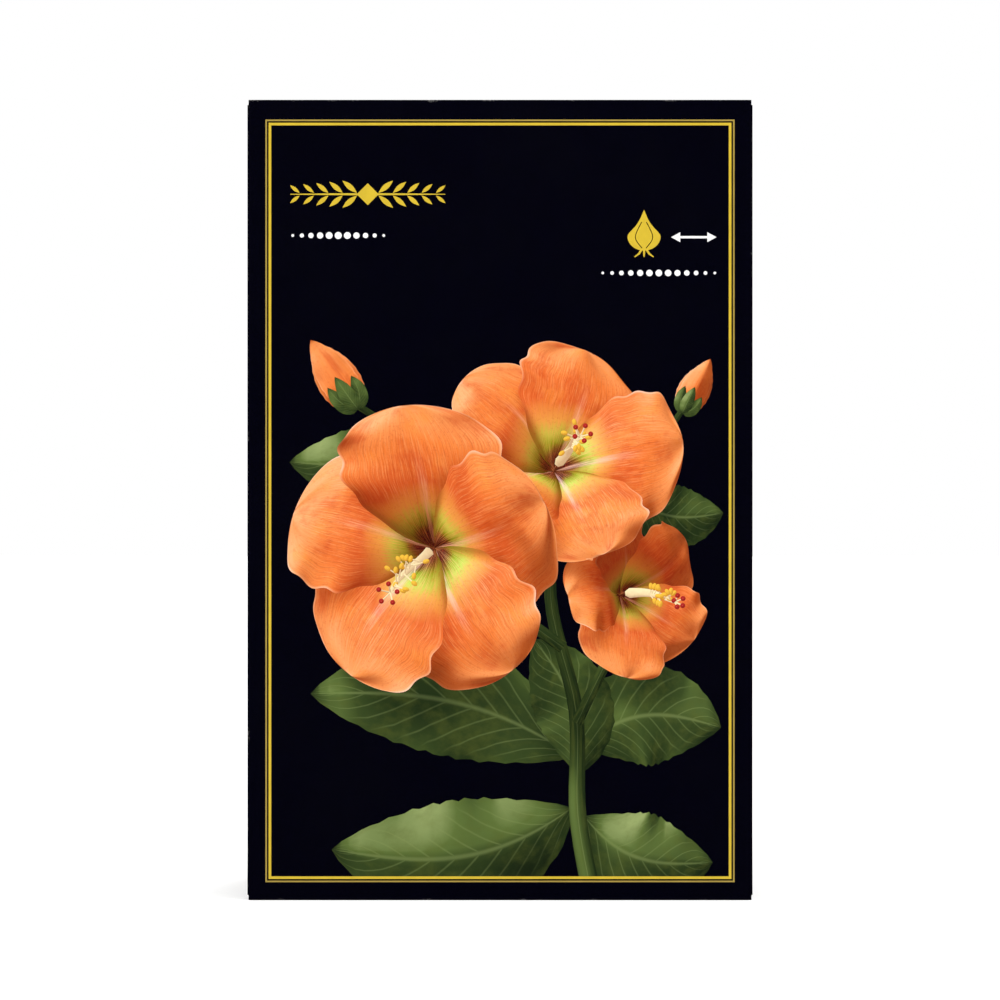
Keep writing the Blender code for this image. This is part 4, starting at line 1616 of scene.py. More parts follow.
def polygon_area(points: Sequence[Point]) -> float:
    """Signed area of a polygon."""
    line = np.array(points, float)
    return float(cross(line, np.roll(line, -1, axis=0)).sum() / 2.0)


# Print of each panel


@dataclass
class Border:
    """The double gold rule round a panel: a thin outer line and a broad inner one."""

    side: float = 4.3
    top: float = 4.67
    bottom: float = 4.26
    outer_line: float = 0.38
    gap: float = 0.38
    inner_line: float = 0.63
    layer: int = 900

    def patches(self, low: Point, high: Point, mask: bool = False) -> list[Patch]:
        """Both rules, mitred at the corners.

        Args:
            low: Lowest left corner of the panel's face.
            high: Highest right corner.
            mask: Whether to print the ground over what passes the inner rule.

        Returns:
            The printed shapes.
        """
        rings = [rectangle(low, high)]
        steps = (0.0, self.outer_line, self.gap, self.inner_line)
        inset = 0.0
        for step in steps:
            inset += step
            corner_low = (low[0] + self.side + inset, low[1] + self.bottom + inset)
            corner_high = (high[0] - self.side - inset, high[1] - self.top - inset)
            rings.append(rectangle(corner_low, corner_high))
        made = [
            band(Ink.TAN_GOLD, self.layer, rings[1], rings[2]),
            band(Ink.GOLD, self.layer, rings[3], rings[4]),
        ]
        if mask:
            made.append(band(Ink.BLACK, self.layer - 1, rings[0], rings[4]))
        return made


def lens(ink: Ink, layer: int, base: Point, tip: Point, half: float) -> Patch:
    """A pointed leaf shape between two points."""
    run = np.subtract(tip, base)
    shares = np.linspace(0.0, 1.0, 9)[:, None]
    spine, bulge = base + run * shares, leftward(unit(run)) * (half * np.sin(pi * shares))
    return polygon(ink, layer, np.concatenate(((spine - bulge)[:-1], (spine + bulge)[:0:-1])))


def sprig(ink: Ink, layer: int, start: Point, length: float, height: float, pairs: int) -> list[Patch]:
    """A level garland: a thin stem with pairs of small leaves and a lozenge in the middle."""
    x0, y0 = start
    path = [(x0 + length * i / 12.0, y0) for i in range(13)]
    widths = [height * 0.06 * (0.3 + sin(pi * (0.05 + 0.9 * i / 12.0))) for i in range(13)]
    made = [stroke(ink, layer, path, widths)]
    middle = x0 + length / 2.0
    for side in (-1.0, 1.0):
        for i in range(pairs):
            at = middle + side * (length / 2.0) * (0.2 + 0.72 * i / max(1, pairs - 1))
            grow = height * (0.52 - 0.22 * i / pairs)
            for way in (-1.0, 1.0):
                base = (at - side * grow * 0.35, y0 + way * height * 0.05)
                tip = (at + side * grow * 0.72, y0 + way * grow)
                made.append(lens(ink, layer + 1, base, tip, grow * 0.2))
    gem = [(-1.0, 0.0), (0.0, -1.0), (1.0, 0.0), (0.0, 1.0)]
    made.append(polygon(ink, layer + 2, placed(gem, (middle, y0), height * 0.42)))
    return made


def beads(ink: Ink, layer: int, start: Point, length: float, radius: float, count: int) -> list[Patch]:
    """A level row of dots that shrink towards both ends."""
    made = []
    for i in range(count):
        share = i / (count - 1)
        size = radius * (0.4 + 0.6 * sin(pi * share))
        made.append(polygon(ink, layer, circle((start[0] + length * share, start[1]), size, 20)))
    return made


def bulb_sign(ink: Ink, layer: int, centre: Point, size: float) -> list[Patch]:
    """A plain sign of a bulb: a round body drawn to a neck, with three root strokes."""
    body = []
    for i in range(41):
        turn = tau * i / 41 - pi / 2.0
        rise = max(0.0, sin(turn))
        body.append((0.42 * cos(turn) * (1.0 - 0.78 * rise**1.6), 0.36 * sin(turn) + 0.3 * rise**4))
    made = [polygon(ink, layer, placed(body, centre, size))]
    for way in (-1.0, 0.0, 1.0):
        root = placed(((way * 0.06, -0.33), (way * 0.13, -0.44), (way * 0.24, -0.52)), centre, size)
        made.append(stroke(ink, layer, root, [0.055 * size, 0.05 * size, 0.025 * size]))
    for way in (-1.0, 1.0):
        seam = placed(((way * 0.05, -0.3), (way * 0.22, -0.02), (way * 0.06, 0.36)), centre, size)
        made.append(stroke(Ink.BLACK, layer + 1, smooth_path(seam, 5), [0.022 * size]))
    return made


def arrow(ink: Ink, layer: int, start: Point, end: Point, width: float, head: float) -> list[Patch]:
    """A level line with a head at both ends."""
    (x0, y0), (x1, _) = start, end
    made = [polygon(ink, layer, rectangle((x0 + head, y0 - width / 2.0), (x1 - head, y0 + width / 2.0)))]
    for tip, way in ((x0, 1.0), (x1, -1.0)):
        base = tip + way * head * 1.15
        ends = [(tip, y0), (base, y0 - head * 0.62), (base, y0 + head * 0.62)]
        made.append(polygon(ink, layer, ends if way > 0.0 else [ends[0], ends[2], ends[1]]))
    return made


class Sign(Enum):
    """Care signs on the carton's sides and back."""

    SUN = "sun"
    DROP = "drop"
    POT = "pot"
    FLOWER = "flower"

    def patches(self, ink: Ink, layer: int, centre: Point, size: float) -> list[Patch]:
        """The sign inside a ring.

        Args:
            ink: Its ink.
            layer: Its layer in the print.
            centre: The ring's centre.
            size: The ring's radius.

        Returns:
            The printed shapes.
        """
        made = [stroke(Ink.GOLD, layer, circle(centre, size, 56), [0.075 * size], True)]
        if self is Sign.SUN:
            made.append(polygon(ink, layer, circle(centre, 0.3 * size, 32)))
            for i in range(8):
                ray = [(r * cos(pi * i / 4.0), r * sin(pi * i / 4.0)) for r in (0.42, 0.68)]
                made.append(stroke(ink, layer, placed(ray, centre, size), [0.085 * size, 0.05 * size]))
        elif self is Sign.DROP:
            drop = [(0.3 * cos(t), 0.3 * sin(t) - 0.2) for t in np.linspace(-3.8, 0.66, 26)]
            made.append(polygon(ink, layer, placed([*drop, (0.0, 0.58)], centre, size)))
            glint = [(0.17 * cos(t), 0.17 * sin(t) - 0.2) for t in np.linspace(-2.9, -1.6, 7)]
            made.append(stroke(Ink.BLACK, layer + 1, placed(glint, centre, size), [0.05 * size]))
        elif self is Sign.POT:
            pot = [(-0.24, -0.52), (0.24, -0.52), (0.32, -0.12), (-0.32, -0.12)]
            for shape in (pot, rectangle((-0.4, -0.07), (0.4, 0.05))):
                made.append(polygon(ink, layer, placed(shape, centre, size)))
            made += bulb_sign(ink, layer + 1, (centre[0], centre[1] + 0.25 * size), 0.55 * size)[:1]
        else:
            marks = ((0.0, 0.16), (0.0, -0.16), (0.0, -0.68), (0.0, -0.6), (-0.42, -0.3), (0.42, -0.3))
            middle, neck, foot, knot, *tips = placed(marks, centre, size)
            made += rosette(ink, layer, middle, 0.36 * size)
            made.append(stroke(ink, layer, [neck, foot], [0.06 * size]))
            made += [lens(ink, layer, knot, tip, 0.07 * size) for tip in tips]
        return made


def rosette(ink: Ink, layer: int, centre: Point, radius: float, fine: bool = False) -> list[Patch]:
    """A plain flower of five notched petals round a small disc.

    Args:
        ink: The petals' ink.
        layer: The lowest layer that it takes in the print.
        centre: The flower's middle.
        radius: How far its petals reach.
        fine: Whether it is large enough for sepals, petal ribs and a ring of dots.

    Returns:
        The printed shapes.
    """

    def spot(turn: float, reach: float) -> Point:
        """A place at an angle and a share of the radius from the middle."""
        return centre[0] + radius * reach * cos(turn), centre[1] + radius * reach * sin(turn)

    made = [polygon(ink, layer + 1, circle(centre, 0.1 * radius, 20))]
    for i in range(PETALS):
        axis = pi / 2.0 + tau * i / PETALS
        outline = []
        for t in np.linspace(0.0, tau, 44, endpoint=False):
            across, up = cos(t), sin(t)
            lean = -0.54 * copysign(abs(across) ** 0.8, across)
            reach = 0.61 + 0.39 * copysign(abs(up) ** 0.86, up)
            notch = 0.085 * exp(-((lean / 0.15) ** 2)) * max(0.0, up)
            outline.append(spot(axis + lean, reach - notch))
        made.append(polygon(ink, layer + 1, outline))
        if fine:
            between = axis + pi / PETALS
            made.append(lens(Ink.TAN_GOLD, layer, spot(between, 0.66), spot(between, 1.16), 0.075 * radius))
            for lean, top in ((-0.19, 0.66), (0.0, 0.76), (0.19, 0.66)):
                shares = (0.0, 0.35, 0.7, 1.0)
                rib = [spot(axis + lean * share, 0.34 + (top - 0.34) * share) for share in shares]
                widths = [0.03 * radius, 0.026 * radius, 0.019 * radius, 0.008 * radius]
                made.append(stroke(Ink.BLACK, layer + 2, rib, widths))
    if fine:
        for i in range(2 * PETALS):
            dot = spot(tau * (i + 0.5) / (2 * PETALS), 0.175)
            made.append(polygon(ink, layer + 3, circle(dot, 0.022 * radius, 12)))
    return made


@dataclass
class Artwork:
    """What is printed on each panel. Places are in millimetres on the panel's face."""

    carton: Carton
    border: Border = field(default_factory=Border)
    spray: Spray = field(default_factory=Spray)

    def front(self) -> list[Patch]:
        """Double rule, flowering branch, and small ornaments above it."""
        low, high = (-self.carton.half_width, 0.0), (self.carton.half_width, self.carton.height)
        made = self.border.patches(low, high, mask=True) + self.spray.patches()
        made += sprig(Ink.GOLD, 910, (-49.8, 167.6), 36.8, 6.2, 5)
        made += beads(Ink.WHITE, 910, (-49.2, 157.8), 21.6, 0.85, 11)
        made += bulb_sign(Ink.GOLD, 910, (34.2, 157.6), 9.4)
        made += arrow(Ink.WHITE, 910, (40.6, 157.4), (51.4, 157.4), 0.55, 1.9)
        made += beads(Ink.WHITE, 910, (24.4, 148.9), 26.6, 0.8, 13)
        return made

    def side(self, signs: tuple[Sign, ...]) -> list[Patch]:
        """Double rule round the side, a garland above the air holes and care signs below."""
        half = self.carton.half_depth
        low, high = (-half, self.carton.side_low - self.carton.layer), (half, self.carton.height)
        made = self.border.patches(low, high)
        made += sprig(Ink.GOLD, 910, (-22.0, 150.0), 44.0, 7.2, 5)
        made += beads(Ink.WHITE, 910, (-15.0, 140.5), 30.0, 0.85, 13)
        for index, sign in enumerate(signs):
            made += sign.patches(Ink.WHITE, 920, (22.0 * (index - 1), 40.0), 9.0)
        made += beads(Ink.GOLD, 910, (-25.0, 22.0), 50.0, 0.6, 21)
        return made

    def back(self) -> list[Patch]:
        """Double rule, a large rosette, and four signs that show how the bulb is planted."""
        low, high = (-self.carton.half_width, 0.0), (self.carton.half_width, self.carton.height)
        made = self.border.patches(low, high)
        made += sprig(Ink.GOLD, 910, (-34.0, 164.0), 68.0, 8.4, 7)
        for index in range(12):
            turn = tau * (index + 0.5) / 12.0
            ray = [(r * cos(turn), 122.0 + r * sin(turn)) for r in (23.2, 27.0)]
            made.append(lens(Ink.GOLD, 912, ray[0], ray[1], 0.9))
        made += rosette(Ink.GOLD, 914, (0.0, 122.0), 18.6, fine=True)
        made.append(stroke(Ink.TAN_GOLD, 911, circle((0.0, 122.0), 29.5, 96), [0.45], True))
        order = (Sign.POT, Sign.DROP, Sign.SUN, Sign.FLOWER)
        for index, sign in enumerate(order):
            x = 25.0 * (index - 1.5)
            made += sign.patches(Ink.WHITE, 930, (x, 62.0), 10.0)
            if index:
                tip = (x - 11.2, 62.0)
                made.append(polygon(Ink.GOLD, 930, [(tip[0] - 2.0, 60.9), tip, (tip[0] - 2.0, 63.1)]))
        made += beads(Ink.WHITE, 910, (-30.0, 38.0), 60.0, 0.8, 23)
        made += beads(Ink.GOLD, 910, (-20.0, 30.0), 40.0, 0.6, 17)
        return made

    def lid(self) -> list[Patch]:
        """Double rule on the lid's plate and a rosette between two garlands."""
        half = self.carton.half_width - self.carton.lid_play
        low, high = (-half, -self.carton.half_depth), (half, self.carton.half_depth)
        made = self.border.patches(low, high)
        made += rosette(Ink.GOLD, 914, (0.0, 0.0), 13.0, fine=True)
        made += sprig(Ink.GOLD, 910, (-45.0, 0.0), 26.0, 6.0, 3)
        made += sprig(Ink.GOLD, 910, (19.0, 0.0), 26.0, 6.0, 3)
        bleed = -self.carton.half_depth - 4.5
        made.append(polygon(Ink.COATING, 905, rectangle((-half - 1.0, bleed - 30.0), (half + 1.0, bleed))))
        return made

    def flap(self, side: float) -> list[Patch]:
        """The strip where the print runs over the fold."""
        hinge = self.carton.half_width
        low, high = sorted((side * (hinge - 4.0), side * (hinge + 1.0)))
        return [polygon(Ink.BLACK, 905, rectangle((low, -60.0), (high, 60.0)))]


# Bulb


@dataclass
class Bulb:
    """The bulb, in metres: pale body, papery tunics, layered dry neck and roots."""

    girth: float = 0.246
    foot: float = 0.019
    widest: float = 0.055
    top: float = 0.15
    neck: float = 0.0135
    belly_outline: tuple[Point, ...] = ((0.24, 0.0), (0.38, 0.03), (0.55, 0.1), (0.76, 0.28), (0.92, 0.56))
    crown_outline: tuple[Point, ...] = ((0.965, 0.12), (0.86, 0.24), (0.7, 0.35), (0.545, 0.45))
    neck_outline: tuple[Point, ...] = ((1.13, 0.6), (1.0, 0.8), (0.97, 0.98))
    neck_rings: tuple[Colour, ...] = (
        (0.0137, 0.118, 0.149), (0.0124, 0.128, 0.1508), (0.011, 0.132, 0.1486), (0.0093, 0.134, 0.15),
        (0.0074, 0.136, 0.1476), (0.0053, 0.136, 0.1492), (0.0031, 0.136, 0.148),
    )
    rim_noise: tuple[Point, ...] = ((0.0016, 2.2), (0.0009, 7.0), (0.0004, 26.0))
    tunics: int = 8
    skin: float = 0.00016
    roots: int = 24

    def __post_init__(self) -> None:
        """Draw the outline that the turned body follows."""
        radius = self.girth / tau
        belly, crown = self.widest - self.foot, self.top - self.widest
        line = [(radius * r, self.foot + belly * h) for r, h in self.belly_outline]
        line += [(radius, self.widest)]
        line += [(radius * r, self.widest + crown * h) for r, h in self.crown_outline]
        line += [(self.neck * r, self.widest + crown * h) for r, h in self.neck_outline]
        self.outline = smooth_path(line, 8)

    def radius_at(self, heights: Array) -> Array:
        """Radius of the turned body at given heights."""
        return np.interp(heights, self.outline[:, 1], self.outline[:, 0])

    def wrinkle(self, angle: Array, height: Array, seed: float, fine: float) -> Array:
        """Long ribs and folds that run up the bulb, in metres."""
        made = np.zeros(angle.shape)
        for index in np.ndindex(angle.shape):
            a, z = angle[index], height[index]
            ring = Vector((cos(a), sin(a), 0.0))
            broad = noise.noise(ring * 2.4 + Vector((0.0, 0.0, z * 9.0 + seed)))
            folds = noise.noise(ring * 9.0 + Vector((seed, 0.0, z * 16.0)))
            strands = noise.noise(ring * 30.0 + Vector((0.0, seed, z * 26.0)))
            made[index] = 0.0007 * broad + 0.0005 * folds + fine * strands
        return made

    def body(self) -> Piece:
        """The pale inner scales, closed below by the basal plate and above by the sunk heart."""
        lower, upper = np.linspace(self.foot, self.widest, 34), np.linspace(self.widest, self.top - 0.004, 60)
        angles = np.linspace(0.0, tau, 145)
        z, a = np.meshgrid(np.concatenate((lower, upper[1:])), angles, indexing="ij")
        r = self.radius_at(z) - 0.0009 + 0.5 * self.wrinkle(a, z, 3.0, 0.00012)
        r[:, -1] = r[:, 0]
        shares = np.linspace(0.0, 0.95, 9)[:, None]
        foot = shares * r[0]
        low = np.broadcast_to(self.foot - 0.0012 * (1.0 - shares**2), foot.shape)
        heart = np.array((0.985, 0.8, 0.5, 0.22, 0.0))[:, None] * r[-1]
        deep = z[-1] - np.array((0.0003, 0.004, 0.0075, 0.0088, 0.009))[:, None]
        r, z = np.concatenate((foot, r, heart)), np.concatenate((low, z, deep))
        tone = toned(np.clip((z - self.foot) / 0.01, 0.0, 1.0), 0.2)
        sheet = Sheet3D(ringed(r, angles, z), gridded(angles * 0.035, z), tone)
        flesh = Husk("bulb flesh", (0.46, 0.4, 0.17), (0.3, 0.17, 0.07), (0.66, 0.6, 0.36), 0.0002, 0.05)
        piece = sheets_piece("bulb_body", [sheet], [flesh])
        return settle(piece, "carton", ("bulb",))

    def tunic(self, index: int, draw: Random) -> Sheet3D:
        """One papery scale: a skin round part of the bulb, torn at its edges and lifting there."""
        q, p = np.linspace(0.0, 1.0, 72)[:, None], np.linspace(0.0, 1.0, 80)
        start = 2.4 * index + draw.uniform(-0.3, 0.3)
        sweep = draw.uniform(2.1, 3.4)
        low = self.foot + 0.001 + draw.uniform(0.0, 0.01)
        high = draw.uniform(0.105, 0.146) if index % 3 else 0.1485
        seed = 10.0 * index

        def torn(places: Array, shift: float) -> Array:
            """How far an edge is torn in at places along it."""
            pitches, made = (3.0, 11.0, 46.0), []
            for place in places.ravel():
                made.append([noise.noise(Vector((place * pitch, shift, seed))) for pitch in pitches])
            return (np.array(made) @ (0.6, 0.28, 0.12)).reshape(places.shape)

        left, right = 0.3 * torn(q, 1.0), 0.42 * torn(q, 5.0)
        lower, upper = 0.008 * torn(p, 9.0), 0.012 * torn(p, 13.0)
        z = low + lower + (high + upper - low - lower) * q
        a = start + left + (sweep + right - left) * p + 0.7 * (z - self.foot) / (self.top - self.foot)
        fray = np.minimum(np.minimum(p, 1.0 - p) * sweep / 0.45, 1.0)
        lift = 0.0018 * (1.0 - fray) ** 2.0 * (0.4 + 0.6 * np.sin(9.0 * q + seed) ** 2)
        if index % 3:
            lift = lift + 0.0015 * np.clip((q - 0.86) / 0.14, 0.0, 1.0) ** 2
        r = self.radius_at(z) + 0.00015 + 0.00022 * index + lift
        r = r + self.wrinkle(a, z, 3.0, 0.00016) + 0.0001 * np.sin(70.0 * a + 5.0 * q)
        tone = toned(0.55 + 0.45 * np.minimum(fray * 3.0, 1.0), draw.random())
        return Sheet3D(ringed(r, a, z), gridded(a * 0.035 + 0.3 * index, z), tone, index % 3)

    def skins(self) -> Piece:
        """All papery scales."""
        draw = Random(246)
        finishes = [
            Husk("chestnut husk"),
            Husk("tan husk", (0.56, 0.32, 0.13), (0.22, 0.09, 0.03), (0.8, 0.58, 0.32)),
            Husk("dark husk", (0.27, 0.095, 0.035), (0.085, 0.026, 0.014), (0.5, 0.25, 0.1)),
        ]
        sheets = [self.tunic(index, draw) for index in range(self.tunics)]
        piece = sheets_piece("bulb_tunics", sheets, finishes, self.skin)
        return settle(piece, "carton")

    def crown(self) -> Piece:
        """The cut neck: dry leaf bases nested in one another, with torn rims, the inner ones darkened towards
        their foot as painted shade deep in the neck.
        """
        draw = Random(77)
        sheets = []
        a = np.linspace(0.0, tau, 97)
        q = np.linspace(0.0, 1.0, 30)[:, None]
        for ring, (radius, low, high) in enumerate(self.neck_rings):
            seed = draw.uniform(0.0, 50.0)
            rim = []
            for turn in a:
                spot = Vector((cos(turn), sin(turn), seed))
                rim.append(sum(size * noise.noise(spot * f) for size, f in self.rim_noise))
            rim[-1] = rim[0]
            z = low + (high + np.array(rim) - low) * q
            flare = 0.0009 * np.clip((q - 0.85) / 0.15, 0.0, 1.0) ** 2 * (ring == 0)
            body = self.radius_at(z) * (radius / self.neck_rings[0][0])
            r = body * (1.0 + 0.05 * np.sin(2.0 * a + seed)) + flare
            r = r + 0.6 * self.wrinkle(np.broadcast_to(a, z.shape), z, seed, 0.00015)
            r[:, -1] = r[:, 0]
            # Painted shade: the inner rings' tone runs from dark at their foot, deep in the neck, to full at
            # their rim; the outer ring stays full.
            tone = toned(np.clip(0.15 + q, 0.0, 1.0) if ring else 1.0, draw.random())
            sheets.append(Sheet3D(ringed(r, a, z), gridded(a * radius, z), tone, min(ring, 2)))
        finishes = [
            Husk("neck husk", (0.46, 0.24, 0.09), (0.16, 0.065, 0.022), (0.72, 0.48, 0.24)),
            Husk("neck lining", (0.6, 0.4, 0.19), (0.24, 0.12, 0.045), (0.8, 0.62, 0.38)),
            Husk("neck heart", (0.54, 0.42, 0.2), (0.22, 0.13, 0.05), (0.74, 0.64, 0.38)),
        ]
        piece = sheets_piece("bulb_neck", sheets, finishes, 0.00045)
        return settle(piece, "carton")

    def root_sheet(self, index: int, draw: Random) -> Sheet3D:
        """One dry root: out of the basal plate, down, and along the carton's floor."""
        floor = 0.0031
        angle = tau * (index + draw.uniform(-0.3, 0.3)) / self.roots
        start, reach = 0.0125 * draw.uniform(0.35, 1.0), 0.0335 * draw.uniform(0.62, 1.0)
        bend, lift = draw.uniform(-0.5, 0.5), draw.uniform(0.0, 0.006)
        stations = [
            (start, self.foot + 0.003, 0.0),
            (start + 0.04 * (reach - start), self.foot - 0.004, 0.0),
            (start + 0.35 * (reach - start), floor + 0.0045 + lift, 0.4 * bend),
            (start + 0.7 * (reach - start), floor + lift, 0.8 * bend),
            (reach, floor + 0.6 * lift, bend),
        ]
        path = [(r * cos(angle + b), r * sin(angle + b), z) for r, z, b in stations]
        spine = smooth_path(path, 9)
        step = unit(np.gradient(spine, axis=0))
        side = unit(np.cross(step, (0.0, 0.0, 1.0)))
        up = np.cross(side, step)
        turns = np.linspace(tau, 0.0, 9)
        along = np.linspace(0.0, 1.0, len(spine))
        taper = np.interp(along, (0.0, 0.03, 0.85, 1.0), (0.0, 0.00125, 0.0007, 0.0))
        knots = 1.0 + 0.14 * np.sin(np.arange(len(spine)) * 1.9 + index)
        width = (taper * knots)[:, None, None] * draw.uniform(0.7, 1.0)
        ring = side[:, None, :] * np.cos(turns)[:, None] + up[:, None, :] * np.sin(turns)[:, None]
        grain = gridded(turns * 0.002, 0.03 * along[:, None])
        return Sheet3D(spine[:, None, :] + width * ring, grain, toned(1.0, draw.random()))

    def root_tuft(self) -> Piece:
        """All dry roots."""
        draw = Random(24)
        finish = Husk("dry root", (0.5, 0.36, 0.19), (0.24, 0.14, 0.06), (0.68, 0.55, 0.34), 0.00015, 0.05)
        piece = sheets_piece("bulb_roots", [self.root_sheet(i, draw) for i in range(self.roots)], [finish])
        return settle(piece, "carton")


# Wood shavings


@dataclass
class Nest:
    """Curled wood shavings round the foot of the bulb, in metres."""

    top: float = 0.035
    corner_rise: float = 0.013
    thickness: float = 0.00022
    layers: tuple[int, int] = (400, 460)
    steps: int = 28

    def __post_init__(self) -> None:
        """Read the room for the nest from the frame."""
        self.low, self.high = (np.array(corner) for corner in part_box("shavings_nest"))

    def surface_height(self, x: float, y: float, bulb_radius: float) -> float:
        """Height of the nest's top."""
        outward = max(0.0, hypot(x, y) - bulb_radius) / 0.06
        bump = noise.noise(Vector((x, y, 0.0)) * 95.0)
        return self.top + 0.003 * bump + self.corner_rise * outward

    def shaving(self, spot: Array, draw: Random) -> Sheet3D:
        """One ribbon: rolled along its length, coned, and tapering at its ends."""
        width = draw.uniform(0.0024, 0.0064)
        radius = draw.uniform(0.0026, 0.0072)
        turns = draw.uniform(0.6, 2.3)
        u = np.linspace(0.0, 1.0, self.steps)[:, None]
        v = np.linspace(-1.0, 1.0, 3)
        angle = tau * turns * u + draw.uniform(0.0, 6.3)
        curl = radius * (1.0 + draw.uniform(-0.5, 0.6) * u)
        half = 0.5 * width * np.minimum(1.0, 0.25 + 5.0 * np.minimum(u, 1.0 - u))
        pitch = draw.uniform(0.3, 1.6) * width * turns
        x, y = spot[0] * 900.0, spot[1] * 900.0
        ragged = np.array([noise.noise(Vector((k * 0.6, x, y))) for k in range(self.steps)])[:, None]
        local = ringed(curl, angle, pitch * (u - 0.5) + v * half * (1.0 + 0.25 * ragged))
        cone = draw.uniform(-0.25, 0.25)
        local[:, :, :2] *= (1.0 + cone * v * half / radius)[:, :, None]
        local -= local.reshape(-1, 3).mean(axis=0)
        for axis, turn in enumerate([draw.uniform(0.0, tau) for _ in range(3)]):
            a, b = [k for k in range(3) if k != axis]
            local[..., a], local[..., b] = turned_by(local[..., a], local[..., b], turn)
        grain = gridded(u * tau * turns * radius + spot[0] * 7.0, v * half + spot[1] * 3.0)
        tone = toned(draw.uniform(0.78, 1.0), draw.random())
        return Sheet3D(local + spot, grain, tone, draw.randrange(2))

    def confine(self, sheet: Sheet3D, bulb: Bulb) -> Sheet3D:
        """Keep a shaving inside the carton and outside the bulb."""
        points = sheet.points.reshape(-1, 3)
        margin = 0.0004
        for axis in range(3):
            low, high = self.low[axis] + margin, self.high[axis] - margin
            if axis == 2:
                high += 0.004
            over_low, over_high = points[:, axis].min() - low, points[:, axis].max() - high
            if over_low < 0.0:
                points[:, axis] -= over_low
            elif over_high > 0.0:
                points[:, axis] -= over_high
            points[:, axis] = np.clip(points[:, axis], low, high)
        around = np.hypot(points[:, 0], points[:, 1])
        seat = bulb.radius_at(np.maximum(points[:, 2], bulb.foot + 0.006)) + 0.0022
        push = np.maximum(seat / np.maximum(around, 1e-6), 1.0)
        points[:, :2] *= push[:, None]
        for axis in range(2):
            points[:, axis] = np.clip(points[:, axis], self.low[axis] + margin, self.high[axis] - margin)
        sheet.points = points.reshape(sheet.points.shape)
        return sheet

    def bed(self, bulb: Bulb) -> Piece:
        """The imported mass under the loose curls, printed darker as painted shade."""
        rows, columns = 60, 80
        x = np.linspace(self.low[0] + 0.0003, self.high[0] - 0.0003, columns)
        y = np.linspace(self.low[1] + 0.0003, self.high[1] - 0.0003, rows)
        gy, gx = np.meshgrid(y, x, indexing="ij")
        z = np.zeros(gx.shape)
        seat = self.girth_radius(bulb)
        for index in np.ndindex(gx.shape):
            spot = Vector((gx[index], gy[index], 0.0))
            top = self.surface_height(spot.x, spot.y, seat) - 0.008
            crumple = 0.0022 * noise.noise(spot * 240.0) + 0.001 * noise.noise(spot * 700.0)
            around = hypot(spot.x, spot.y)
            inside = np.interp(around, (0.0, 0.03, 0.0375, 0.044), (0.0045, 0.006, 0.02, 0.05))
            z[index] = min(top + crumple, inside)
        points = np.stack((gx, gy, z), axis=2)
        grain = np.stack((gx * 1.0, gy * 1.0), axis=2)
        # Painted shade: the whole bed gets a tone of 0.55, which prints its wood darker, as if shaded by the
        # curls above.
        tone = np.ones((rows, columns, 3)) * 0.55
        piece = sheets_piece("shavings_bed", [Sheet3D(points, grain, tone)], [self.finishes()[1]], 0.0006)
        return settle(piece, "carton", ("shavings_nest",))

    @staticmethod
    def girth_radius(bulb: Bulb) -> float:
        """Radius of the bulb at its widest."""
        return bulb.girth / tau

    @staticmethod
    def finishes() -> list[Finish]:
        """Two kinds of wood."""
        pine = ShavedWood("pine shaving", (0.84, 0.6, 0.32), (0.6, 0.35, 0.14))
        return [ShavedWood("poplar shaving"), pine]

    def curls(self, name: str, count: int, seed: int, depth: float, bulb: Bulb) -> Piece:
        """A layer of loose shavings.

        Args:
            name: The piece's name.
            count: How many shavings it has.
            seed: Seed of its random draws.
            depth: How far under the nest's top it lies.
            bulb: The bulb that it keeps clear of.

        Returns:
            The piece, riding on the carton.
        """
        draw = Random(seed)
        seat = self.girth_radius(bulb)
        sheets = []
        while len(sheets) < count:
            x, y = draw.uniform(self.low[0], self.high[0]), draw.uniform(self.low[1], self.high[1])
            if hypot(x, y) < seat - 0.004:
                continue
            z = self.surface_height(x, y, seat) - depth + draw.uniform(-0.003, 0.003)
            sheets.append(self.confine(self.shaving(np.array((x, y, z)), draw), bulb))
        piece = sheets_piece(name, sheets, self.finishes(), self.thickness)
        return settle(piece, "carton")


# Studio


@dataclass
class Lamp:
    """A soft distant light."""

    name: str
    towards: Colour
    strength: float
    spread: float = 28.0

    def build(self) -> Piece:
        """Make the light, shining from its direction on the origin."""
        data = bpy.data.lights.new(self.name, "SUN")
        data.energy = self.strength
        data.angle = radians(self.spread)
        lamp = bpy.data.objects.new(self.name, data)
        lamp.rotation_euler = Vector(self.towards).to_track_quat("Z", "Y").to_euler()
        bpy.context.scene.collection.objects.link(lamp)
        return lamp


